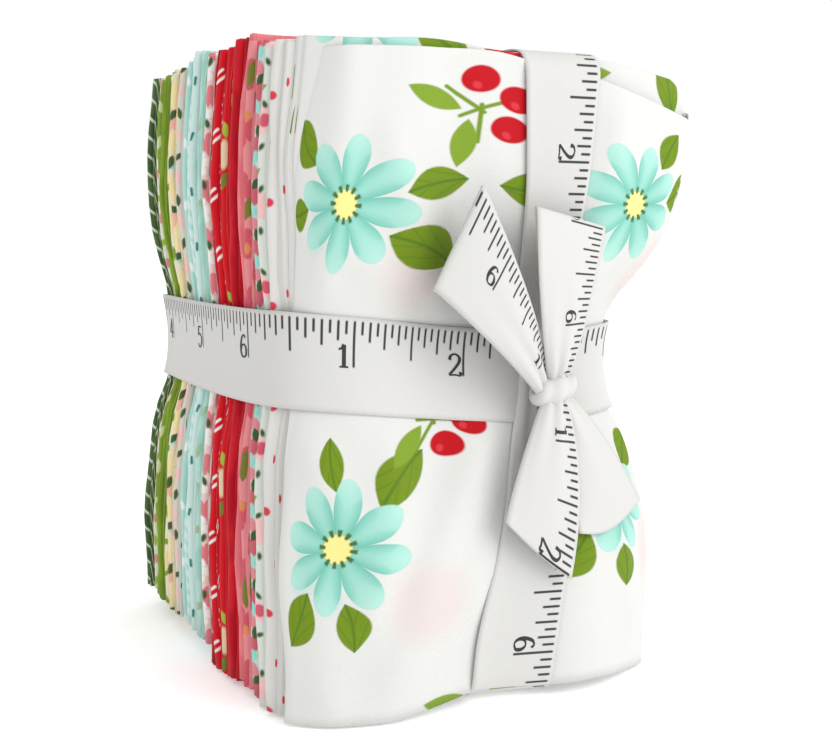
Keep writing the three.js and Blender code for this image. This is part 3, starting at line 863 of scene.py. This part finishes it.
def cotton(number, start, thick):
    """One cotton: the product of its fold path seen from above and its runs up and down, carried
    into the tied pile.  Small waves keep its folds and edges uneven."""
    rng = np.random.default_rng(FIRST_SEED + number)
    first = number == 0
    per_panel, per_turn, per_run, per_ply_turn = FIRST_STEPS if first else STEPS
    rise, lift, fold, edge_foot, edge_top = (
        COTTONS[name][number] for name in ("rise", "lift", "fold", "edge_foot", "edge_top")
    )
    short_end = rng.uniform(*SHORT_ENDS)
    path = fold_path(start, thick, fold, short_end, per_panel, per_turn)
    across, shift, depth, ray_shift, ray, u = path
    ply, t, past, v = run_path(rng, per_run, per_ply_turn)
    top = top_edge(rng, rise, across, u, first)
    foot = np.maximum(0, between(BENDS, "sole", across) + lift * (1 - across) ** 2)
    height = np.maximum(foot + (top - foot) * t + past, LOWEST)
    free = u < u[per_panel - 1]
    edge = free_edge(rng, edge_foot, edge_top, height, ply)
    near = np.exp(-across / RUFFLE_SHARE) * ~free + np.exp(-(1 - across) / RUFFLE_SHARE)
    ruffle = RUFFLE * near * waves(rng, height, 23, 41, 78)
    edge = free * edge * np.clip(1 - across / EDGE_SHARE, 0, 1)
    shift = shift + ply * ray_shift + ruffle + edge
    puff = PUFF * thick * waves(rng, height + PUFF_SLANT * across, 37, 83)
    if first:
        ply = -0.5 + (ply + 0.5) * (1 - EDGE_CURL * free * bell(u, EDGE_ROUND))
    grid = placed(across, depth + ply * ray + puff, height, shift)
    at_fold = u[2 * per_panel + per_turn + per_turn // 2, 0]  # the length at the fold side
    uv = together(u - at_fold, v.max() - v)
    material = white_floral() if first else printed(SLOTS[number])
    thing = mesh_object(f"cotton_{number + 1:02d}", *shell(grid, PLY, uv), [material])
    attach(thing, "root")
    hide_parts(f"fabric_{number + 1:02d}")
    return thing


thickness = COTTONS["share"] / COTTONS["share"].sum()
starts = np.cumsum(thickness) - thickness
for i in range(len(thickness)):
    cotton(i, starts[i], thickness[i])

# ---- the ribbon -----------------------------------------------------------------------------

RIBBON, TAPE = 19.0, 0.32  # width and thickness
CLEAR = 0.55  # how far the ribbon's middle layer stands off the cloth
ACROSS = 15  # points across the ribbon


def rounded(grid, steps, closed):
    """Softens a band's bends: each point along it becomes the weighted mean of its neighbours."""
    far = 3 * steps  # where the weights have as good as ended
    weights = bell(np.arange(-far, far + 1), steps * 2**0.5)
    weights /= weights.sum()
    mode = "wrap" if closed else "edge"
    padded = np.pad(grid, ((far, far), (0, 0), (0, 0)), mode=mode)
    return sum(w * padded[i : i + len(grid)] for i, w in enumerate(weights))


def length_along(grid):
    """Length in mm along the middle of a band."""
    middle = grid[:, grid.shape[1] // 2]
    return np.concatenate([[0], np.cumsum(np.linalg.norm(np.diff(middle, axis=0), axis=1))])


# Height of the middle of the level ribbon round the pile, which drops towards the knot.
WAIST = columns(
    "turn middle",
    (0.0, 70.5),
    (0.05, 69.4),
    (0.11, 67.2),
    (0.19, 64.8),
    (0.25, 67.0),
    (0.5, 70.0),
    (0.62, 70.5),
    (1.0, 70.5),
)
WAIST_FOLLOW = 0.9  # share of the pile's bend at the waist that the ribbon's width follows
LEVEL_STEPS = 640  # points round the pile
SEAM = 115  # step at which the level ribbon starts and ends, under the knot
LEVEL_SOFT, UPRIGHT_SOFT = 5, 4  # steps over which the corners of the rounds are softened

# How much further its edges stand off round the two corners at the back, as the part of the
# turn and the extra, the part of the turn over which that fades, and its middle's share of it.
CORNER_STANDS = ((0.5, 1.4), (0.75, 0.8))
CORNER_FADE, CORNER_MIDDLE = 0.0175, 0.4


def level_band():
    """The ribbon round the waist.  A turn runs along the front, the open side, the back and the
    fold side in quarters, a little off the cloth, and the corners are softened."""
    turn = np.linspace(0, 1, LEVEL_STEPS, endpoint=False)[:, None]
    quarter, t = np.floor(turn * 4), turn * 4 % 1
    across = np.select([quarter == 0, quarter == 1, quarter == 2], [t, 1 + 0 * t, 1 - t], 0 * t)
    depth = np.select([quarter == 0, quarter == 1, quarter == 2], [0 * t, t, 1 + 0 * t], 1 - t)
    tilt = np.linspace(-0.5, 0.5, ACROSS)[None, :]
    height = between(WAIST, "middle", turn) + RIBBON * tilt
    flat = WAIST_HEIGHT + WAIST_FOLLOW * (height - WAIST_HEIGHT)
    grid = placed(across, depth, flat)
    grid[..., 2] = height
    grid = rounded(grid, LEVEL_SOFT, True)
    out = grid - grid.mean(axis=0, keepdims=True)
    side = normals(np.concatenate([grid[-1:], grid, grid[:1]]))[1:-1]
    side = side * np.sign((side * out).sum(axis=-1, keepdims=True))
    flare = CORNER_MIDDLE + (1 - CORNER_MIDDLE) * (2 * tilt) ** 2
    stand = CLEAR
    for corner, further in CORNER_STANDS:
        stand = stand + further * bell(turn - corner, CORNER_FADE) * flare
    grid = np.roll(grid + side * stand[..., None], -SEAM, axis=0)
    return np.concatenate([grid, grid[:1]])


# The upright ribbon where it is not on the front: its middle on top, on the back at the foot and
# at the top, and underneath at the front and at the back, and its half width.
OVER_TOP, BACK_FOOT, BACK_TOP = 11.8, 4.0, 10.0
SOLE_FRONT, SOLE_BACK = 0.2, 4.0
HALF_WIDTH, BACK_HALF = 8.6, 9.4
SOLE_HEIGHT = 0.9  # how high it runs underneath
UP_STEPS, OVER_STEPS = 180, 120  # points up a face, and over the top or underneath
FACE_FOOT, FACE_TOP = 1.6, HEIGHT + 0.4  # where it turns from a face underneath and on top
TOP_STAND = 1.7  # how far it runs above the folded height at the top edges
TOP_HUMP = 0.5  # how much further it does so half way over
HUMP_POWER = 0.7  # the lower, the further that hump reaches to both sides
EDGE_STAND, EDGE_FADE = 0.25, 5.0  # how much further it stands off as it turns over those edges
OVER_FADE = 0.06  # share of the way over the top in which that fades

# How much further it stands off where it crosses the level ribbon, over what half height, and
# how high that is on the front.
CROSS_STAND, CROSS_HALF, CROSS_FRONT = 0.5, 11.0, 66.0

# How deep its width is gathered near the knot, into how many waves, at what height and over
# what half height.
GATHER, GATHERS, GATHER_HEIGHT, GATHER_HALF = 0.4, 3, 64.0, 13.0


def upright_band():
    """The ribbon over the top and under the bottom: up the front, back over the top, down the
    back and forward underneath, with its width laid along X and its edges softened.  It is
    turned round at the end, so that it runs down the front."""
    spread = np.linspace(-1, 1, ACROSS)[None, :]
    up = np.linspace(FACE_FOOT, FACE_TOP, UP_STEPS)[:, None]
    over = np.linspace(0, 1, OVER_STEPS)[:, None]
    down = up[::-1]

    def along_face(middle, half, depth, height, stand):
        """Part of the ribbon on the pile at a depth, with its Y moved by stand."""
        x = middle + half * spread
        y = depth_to_y(x, depth, height)
        return together(x, y + stand, height)

    middle = through(UPRIGHT, "middle", up)
    half = between(UPRIGHT, "half", up)
    cross = CROSS_STAND * bell(up - CROSS_FRONT, CROSS_HALF, 4)
    edge = EDGE_STAND * bell(HEIGHT - up, EDGE_FADE)
    front = along_face(middle, half, 0.0, up, -CLEAR - cross - edge)
    top = along_face(OVER_TOP + 0 * over, HALF_WIDTH, over, HEIGHT + 0 * over, 0.0)
    hump = TOP_STAND + TOP_HUMP * np.sin(math.pi * over) ** HUMP_POWER
    hump = hump + EDGE_STAND * (bell(over, OVER_FADE) + bell(over - 1, OVER_FADE))
    top[..., 2] = HEIGHT + hump
    cross = CROSS_STAND * bell(down - WAIST_HEIGHT, CROSS_HALF, 4)
    middle = BACK_FOOT + (BACK_TOP - BACK_FOOT) * down / HEIGHT
    back = along_face(middle, BACK_HALF, 1.0, down, CLEAR + cross + edge[::-1])
    middle = SOLE_BACK + (SOLE_FRONT - SOLE_BACK) * over
    sole = along_face(middle, HALF_WIDTH, 1 - over, 0 * over, 0.0)
    sole[..., 2] = SOLE_HEIGHT
    grid = rounded(np.concatenate([front, top, back, sole]), UPRIGHT_SOFT, True)
    gather = bell(grid[..., 2] - GATHER_HEIGHT, GATHER_HALF) * (grid[..., 1] < 0)
    grid[..., 1] -= GATHER * gather * np.cos(GATHERS * math.pi * spread)
    return np.concatenate([grid, grid[:1]])[::-1]


# The bow.  Each edge of a piece goes from the knot outwards, pulled by a middle point, as (x, z).
# Stand is Y at the knot, half way and at the end, turn is how much further back the right edge is
# than the left one at the end, and dip is how far the cut end is rounded.
LOOPS = (
    {
        "left": ((8.0, 61.8), (-7.4, 74.6), (-19.1, 84.5)),
        "right": ((9.0, 67.5), (0.8, 84), (-10.2, 104.6)),
        "stand": (-46.6, -49.8, -51.7),
        "turn": -3.0,
        "puff": 2.2,
        "start": 3.57,
    },
    {
        "left": ((9.4, 65.5), (2.2, 78), (2.3, 100.9)),
        "right": ((13.8, 65.5), (16.0, 80), (21.6, 97.1)),
        "stand": (-46.8, -49.6, -50.7),
        "turn": 4.0,
        "puff": 2.2,
        "start": 3.32,
    },
)
TAILS = (
    {
        "left": ((8.6, 62), (0.6, 47), (-3.0, 38.2)),
        "right": ((13.8, 61.5), (18.2, 45), (11.0, 25.6)),
        "stand": (-47.6, -51.0, -53.9),
        "turn": -3.0,
        "dip": 0.8,
        "start": 0.63,
    },
    {
        "left": ((10.6, 62), (12.8, 46), (14.6, 34.2)),
        "right": ((14.8, 63), (24.2, 55), (32.2, 39.2)),
        "stand": (-45.6, -48.4, -51.3),
        "turn": 3.0,
        "dip": 2.8,
    },
)
LOOP_SQUEEZE, TAIL_SQUEEZE = 1.22, 1.1  # the printed inches of the bow are drawn up a little
LAYER_SET = 1.8  # how far a loop's back layer is set to the right of its front one, for its gap
LAYER_RIGHT = 0.2  # share of that at the right edge
LOOP_GAP = 0.45  # half the gap at a loop's ends
PUFF_POWER = 0.8  # the lower, the fuller a loop is puffed, and the nearer to the knot
BOW_STEPS = 48  # points from the knot to the end of a loop or a tail
ARCH = 0.9  # how far a bow piece arches across its width
PLEAT, PLEATS = 0.5, 5  # how deep its pleats are, and how close
TAIL_BULGE = 0.25  # how far a tail bulges forwards half way along
TAIL_FOLD, TAIL_FOLD_AT = 1.8, 0.45  # how deep a tail's fold is, and where across its width
FOLD_ROUND = 1.3  # the further over 1, the rounder that fold
FOLD_FROM, FOLD_RUN = 0.1, 0.8  # the part of a half wave along which its depth swells


def pulled(points, t):
    """The bent line from the first point to the third, pulled by the second."""
    a, b, c = (np.array(p, float) for p in points)
    return (1 - t) ** 2 * a + 2 * t * (1 - t) * b + t**2 * c


def ribbon_face(piece, t, bulge):
    """One layer of a bow piece over t from the knot (0) to its end (1): straight lines between
    its two edges, gathered into pleats at the knot, and bulging forwards by bulge."""
    w = np.linspace(0, 1, ACROSS)[None, :, None]
    left, right = pulled(piece["left"], t[:, None]), pulled(piece["right"], t[:, None])
    flat = left[:, None] * (1 - w) + right[:, None] * w
    stand = pulled([(s,) for s in piece["stand"]], t[:, None])[:, None, 0] + 0 * flat[..., 0]
    arch = ARCH * np.sin(math.pi * w[..., 0]) * (1 - t[:, None]) ** 0.5
    pleat = PLEAT * np.cos(PLEATS * math.pi * w[..., 0]) * (1 - t[:, None]) ** 2
    y = stand - bulge[:, None] - arch + pleat + piece["turn"] * t[:, None] * (w[..., 0] - 0.5)
    return np.stack([flat[..., 0], y, flat[..., 1]], axis=-1)


def bow_loop(piece):
    """Back layer from the knot out, then the front layer home, puffed apart between."""
    out = np.linspace(0, 1, BOW_STEPS)
    gap = LOOP_GAP + piece["puff"] * np.sin(math.pi * out**PUFF_POWER) ** PUFF_POWER
    back = ribbon_face(piece, out, -gap)
    back[..., 0] += LAYER_SET * (gap - gap[-1])[:, None] * np.linspace(1, LAYER_RIGHT, ACROSS)
    front = ribbon_face(piece, out, gap)
    return rounded(np.concatenate([back, front[::-1]]), 1, False)


def bow_tail(piece):
    """A tail, with a soft fold down its length and a rounded end."""
    out = np.linspace(0, 1, BOW_STEPS)
    w = np.linspace(0, 1, ACROSS)[None, :]
    grid = ribbon_face(piece, out, TAIL_BULGE * np.sin(math.pi * out))
    swell = np.sin(math.pi * (out * FOLD_RUN + FOLD_FROM))[:, None]
    grid[..., 1] += TAIL_FOLD * swell * np.abs(w - TAIL_FOLD_AT) ** FOLD_ROUND
    grid[..., 2] -= piece["dip"] * (out**6)[:, None] * np.sin(math.pi * w)
    return grid


def tape_uv(grid, start, squeeze=1.0, closed=False):
    """Inches along the tape, and share across it from its far edge, where the marks are.  On a
    closed round the inches are fitted to a whole number."""
    inches = length_along(grid) / INCH
    along = start + inches * (round(inches[-1]) / inches[-1] if closed else squeeze)
    share = np.linspace(1, 0, grid.shape[1])
    return together(along[:, None], share[None, :])


KNOT = (11.4, -46.6, 63.6)  # the knot's middle
KNOT_HALF = (4.5, 3.1, 3.2)  # its half sizes
KNOT_STEPS = (49, 41)  # points round it and along it
KNOT_BLUNT = 0.45  # the lower, the blunter its ends
KNOT_REACH = 0.9999  # share of the way to its poles at which its skin stops
KNOT_CREASE, KNOT_CREASES = 0.06, 7  # how deep its creases are, as a share, and how close
CREASE_SWING = 0.5  # how far they swing to and fro on their way round it
KNOT_TAPER = 0.05  # how much slimmer it is at its right end, as a share
KNOT_BEND, KNOT_TILT = 0.6, 0.4


def knot():
    """The knot: the ribbon wrapped round the roots of the bow, as a barrel that rounds in at both
    ends, with the creases of its gathered width running round it."""
    turn = np.linspace(-math.pi, math.pi, KNOT_STEPS[0])[:, None]
    swing = np.linspace(-KNOT_REACH, KNOT_REACH, KNOT_STEPS[1])[None, :] * math.pi / 2
    end = np.sin(swing)
    crease = KNOT_CREASE * np.cos(KNOT_CREASES * end + CREASE_SWING * np.sin(turn))
    radius = np.cos(swing) ** KNOT_BLUNT * (1 + crease - KNOT_TAPER * end)
    x = KNOT[0] + KNOT_HALF[0] * end + KNOT_BEND * np.sin(turn)
    y = KNOT[1] - KNOT_HALF[1] * radius * np.cos(turn)
    z = KNOT[2] + KNOT_HALF[2] * radius * np.sin(turn) + KNOT_TILT * end
    return together(x, y, z)


# Digits as pen strokes in a box one high, each a bent line through its points.
STROKES = {
    1: (
        ((0.2, 0.78), (0.36, 0.86), (0.46, 1.0)),
        ((0.46, 1.0), (0.46, 0.0)),
        ((0.24, 0.02), (0.68, 0.02)),
    ),
    2: (
        ((0.12, 0.72), (0.2, 0.92), (0.44, 1.0), (0.68, 0.88), (0.7, 0.66))
        + ((0.46, 0.36), (0.1, 0.03)),
        ((0.1, 0.03), (0.5, 0.05), (0.74, 0.03), (0.8, 0.2)),
    ),
    3: (
        ((0.14, 0.82), (0.3, 0.98), (0.52, 0.98), (0.66, 0.8), (0.56, 0.6), (0.36, 0.54)),
        ((0.36, 0.54), (0.62, 0.48), (0.72, 0.26), (0.56, 0.04), (0.3, 0.0), (0.12, 0.16)),
    ),
    4: (((0.56, 1.0), (0.06, 0.3)), ((0.06, 0.3), (0.8, 0.3)), ((0.56, 1.0), (0.56, 0.0))),
    5: (
        ((0.68, 0.98), (0.24, 0.98)),
        ((0.24, 0.98), (0.18, 0.56)),
        ((0.18, 0.56), (0.42, 0.64), (0.68, 0.5), (0.7, 0.24), (0.5, 0.02))
        + ((0.26, 0.0), (0.12, 0.14)),
    ),
    6: (
        ((0.66, 0.88), (0.5, 1.0), (0.28, 0.88), (0.14, 0.56), (0.14, 0.26))
        + ((0.28, 0.04), (0.46, 0.0)),
        ((0.46, 0.0), (0.68, 0.1), (0.72, 0.34), (0.58, 0.54), (0.38, 0.56))
        + ((0.2, 0.44), (0.14, 0.26)),
    ),
}
PEN = (0.04, 0.1)  # half the width of level and of upright strokes, as shares of the height
STROKE_STEPS = 20  # points along a stroke
DIGIT_HIGH, DIGIT_NARROW = 4.4, 0.9
DIGIT_END, DIGIT_LOW = 0.95, 0.1  # the part of a digit's box at its inch line and at half width
LEVEL_START, UPRIGHT_START = 2.66, 0.3  # the inch at which each round starts
INK_LIFT = 0.05  # how far the numbers stand off the tape


def stroke_strip(points):
    """A pen stroke: a smooth line through its points, thick where it runs up and down."""
    points = np.array(points, float)
    keys = np.linspace(0, 1, len(points))
    rows = {"t": keys, "x": points[:, 0], "y": points[:, 1]}
    t = np.linspace(0, 1, STROKE_STEPS)
    line = np.stack([through(rows, "x", t), through(rows, "y", t)], axis=-1)
    run = np.gradient(line, axis=0)
    run /= np.linalg.norm(run, axis=1, keepdims=True)
    half = PEN[0] + (PEN[1] - PEN[0]) * run[:, 1:] ** 2
    beside = np.stack([-run[:, 1], run[:, 0]], axis=-1) * half
    return np.stack([line + beside, line - beside], axis=1)


def on_band(grid, uv, place, lift):
    """Points of a band's printed face at places (inches, share across), raised by lift."""
    row = np.interp(place[..., 0], uv[:, 0, 0], np.arange(len(uv)))
    first, last = uv[0, 0, 1], uv[0, -1, 1]
    col = np.clip((place[..., 1] - first) / (last - first), 0, 1) * (grid.shape[1] - 1)
    raised = grid + normals(grid) * lift
    i = np.minimum(row.astype(int), grid.shape[0] - 2)
    j = np.minimum(col.astype(int), grid.shape[1] - 2)
    s, t = (row - i)[..., None], (col - j)[..., None]
    low = raised[i, j] * (1 - t) + raised[i, j + 1] * t
    high = raised[i + 1, j] * (1 - t) + raised[i + 1, j + 1] * t
    return low * (1 - s) + high * s


def digits(grid, uv):
    """The numbers beside the inch lines of a band, repeating from 1 to 6."""
    strips = []
    low, high = uv[:, 0, 0].min(), uv[:, 0, 0].max()
    width = np.linalg.norm(grid[len(grid) // 2, -1] - grid[len(grid) // 2, 0])
    for inch in range(math.ceil(low), math.floor(high) + 1):
        for stroke in STROKES[(inch - 1) % 6 + 1]:
            strip = stroke_strip(stroke)
            along = inch + (strip[..., 0] - DIGIT_END) * DIGIT_HIGH * DIGIT_NARROW / INCH
            share = 0.5 - (strip[..., 1] - DIGIT_LOW) * DIGIT_HIGH / width
            if low < along.min() and along.max() < high:
                place = np.stack([along, share], axis=-1)
                strips.append(on_band(grid, uv, place, TAPE / 2 + INK_LIFT))
    return strips


TAPE_WHITE, TICK_GREY, NUMBER_GREY = "cecdca", "3a393a", "353436"
TICK_HALF, TICK_BLUR = 0.26, 0.16  # half the width of a tick, and how softly it ends

# Shares of the ribbon's width: where a tick starts, where the one at a sixteenth ends and how
# softly, and how much longer it is at every second, fourth, eighth and sixteenth sixteenth.
TICK_START, TICK_END, TICK_SOFT = 0.04, 0.18, 0.02
TICK_STEPS = ((2, 0.07), (4, 0.06), (8, 0.09), (16, 0.12))


def tape_material():
    """Twill tape: white, with ruler ticks from one edge whose length goes by sixteenths."""
    material, shader, inches, share = cloth_material("ribbon_tape", TAPE_ROUGH)
    sixteenth = (inches * 16).math("ROUND")
    off = abs(inches * 16 - sixteenth) / 16 * INCH
    end = sixteenth * 0 + TICK_END
    for step, more in TICK_STEPS:
        part = sixteenth / step
        whole = abs(part - part.math("ROUND")) < 0.01
        end = end + whole * more
    line = (off - TICK_HALF).inside(TICK_BLUR)
    reach = (share - end).inside(TICK_SOFT) * (TICK_START - share).inside(TICK_SOFT)
    printed_side = share.math("GREATER_THAN", BLANK / 2)
    colour = plain(share, TICK_GREY).over(plain(share, TAPE_WHITE), line * reach * printed_side)
    paint(shader, colour, inches * INCH, share * RIBBON, pitch=0.55, slant=35.0, strength=0.1)
    return material


def ink_material():
    """The ink of the numbers."""
    material, shader, _, _ = cloth_material("ribbon_ink", INK_ROUGH)
    shader.inputs["Base Color"].default_value = rgb(NUMBER_GREY)
    return material


def stroke_faces(strip):
    """A stroke's points, faces and blank UV, as a shell gives them."""
    flat = np.arange(strip.shape[0] * 2).reshape(-1, 2)
    faces = np.stack([flat[:-1, 0], flat[:-1, 1], flat[1:, 1], flat[1:, 0]], axis=-1)
    return strip.reshape(-1, 3), faces, np.zeros((len(faces), 4, 2))


def ribbon():
    """All of the ribbon as one mesh: the two rounds, the loops, the tails, the numbers printed
    on them and the knot."""
    level, upright = level_band(), upright_band()
    printed_tail, plain_tail = (bow_tail(piece) for piece in TAILS)
    marked = [
        (level, tape_uv(level, LEVEL_START, closed=True)),
        (upright, tape_uv(upright, UPRIGHT_START, closed=True)),
    ]
    for piece in LOOPS:
        grid = bow_loop(piece)
        marked.append((grid, tape_uv(grid, piece["start"], LOOP_SQUEEZE)))
    marked.append((printed_tail, tape_uv(printed_tail, TAILS[0]["start"], TAIL_SQUEEZE)))
    tape, ink = 0, 1
    pieces = []
    for grid, uv in marked:
        pieces.append((tape, *shell(grid, TAPE, uv, np.full_like(uv, BLANK))))
        pieces.extend((ink, *stroke_faces(strip)) for strip in digits(grid, uv))
    for grid in (plain_tail, knot()):
        pieces.append((tape, *shell(grid, TAPE, np.full((*grid.shape[:2], 2), BLANK))))
    count = 0
    points, quads, uvs, slots = [], [], [], []
    for slot, p, q, c in pieces:
        points.append(p)
        quads.append(q + count)
        uvs.append(c)
        slots.append(np.full(len(q), slot))
        count += len(p)
    stacked = [np.concatenate(a) for a in (points, quads, uvs, slots)]
    thing = mesh_object("ribbon_tied", *stacked[:3], [tape_material(), ink_material()], stacked[3])
    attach(thing, "root")
    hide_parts("ribbon")


ribbon()

# ---- floor, light and camera ----------------------------------------------------------------


FLOOR_REACH = 6.0  # in metres
FLOOR_GREY, FLOOR_GLOW = 0.9, 0.3
WHITE_LIGHT = (1, 1, 1, 1)
AIM = (0, 0, 0.065)  # the middle of the bundle, in metres

# The camera's place in mm, its heading, dip and roll in degrees, and its lens and sensor.
CAMERA_PLACE = (-134.48, -264.54, 95.88)
CAMERA_TURNS = (27.61, 6.63, 0.54)
LENS, SENSOR = 55.27, 36


def floor():
    """A large pale floor just under the bundle."""
    r = FLOOR_REACH
    mesh = bpy.data.meshes.new("floor")
    mesh.from_pydata([(-r, -r, 0), (r, -r, 0), (r, r, 0), (-r, r, 0)], [], [(0, 1, 2, 3)])
    material = bpy.data.materials.new("floor")
    shader_of(
        material,
        "BSDF_PRINCIPLED",
        Base_Color=(FLOOR_GREY, FLOOR_GREY, FLOOR_GREY, 1),
        Roughness=1.0,
        Specular_IOR_Level=0.0,
        Emission_Color=WHITE_LIGHT,
        Emission_Strength=FLOOR_GLOW,
    )
    mesh.materials.append(material)
    added("floor", mesh)


def lamp(name, place, size, power):
    """A square soft light aimed at the middle of the bundle."""
    light = bpy.data.lights.new(name, "AREA")
    light.size, light.energy = size, power
    thing = added(name, light)
    thing.location = place
    aim = Vector(AIM) - Vector(place)
    thing.rotation_euler = aim.to_track_quat("-Z", "Y").to_euler()


def camera():
    """The camera: its axes come from its heading and dip, and then lean by its roll."""
    yaw, pitch, lean = (math.radians(degrees) for degrees in CAMERA_TURNS)
    level = math.cos(pitch)
    ahead = Vector((math.sin(yaw) * level, math.cos(yaw) * level, -math.sin(pitch)))
    right = Vector((math.cos(yaw), -math.sin(yaw), 0))
    up = right.cross(ahead)
    right, up = (
        right * math.cos(lean) + up * math.sin(lean),
        up * math.cos(lean) - right * math.sin(lean),
    )
    data = bpy.data.cameras.new("camera")
    data.lens, data.sensor_width = LENS, SENSOR
    data.clip_start, data.clip_end = 0.01, 50
    thing = added("camera", data)
    turn = Matrix((right, up, -ahead)).transposed().to_4x4()
    thing.matrix_world = Matrix.Translation(Vector(CAMERA_PLACE) * MM) @ turn
    bpy.context.scene.camera = thing


def sky():
    """An even white light from all sides, which is also the background."""
    world = bpy.data.worlds.new("studio")
    shader_of(world, "BACKGROUND", Color=WHITE_LIGHT, Strength=1.0)
    bpy.context.scene.world = world


floor()
camera()
lamp("key", place=(0.48, -0.75, 0.55), size=0.8, power=6.2)
sky()
bpy.context.scene.view_settings.view_transform = "Standard"
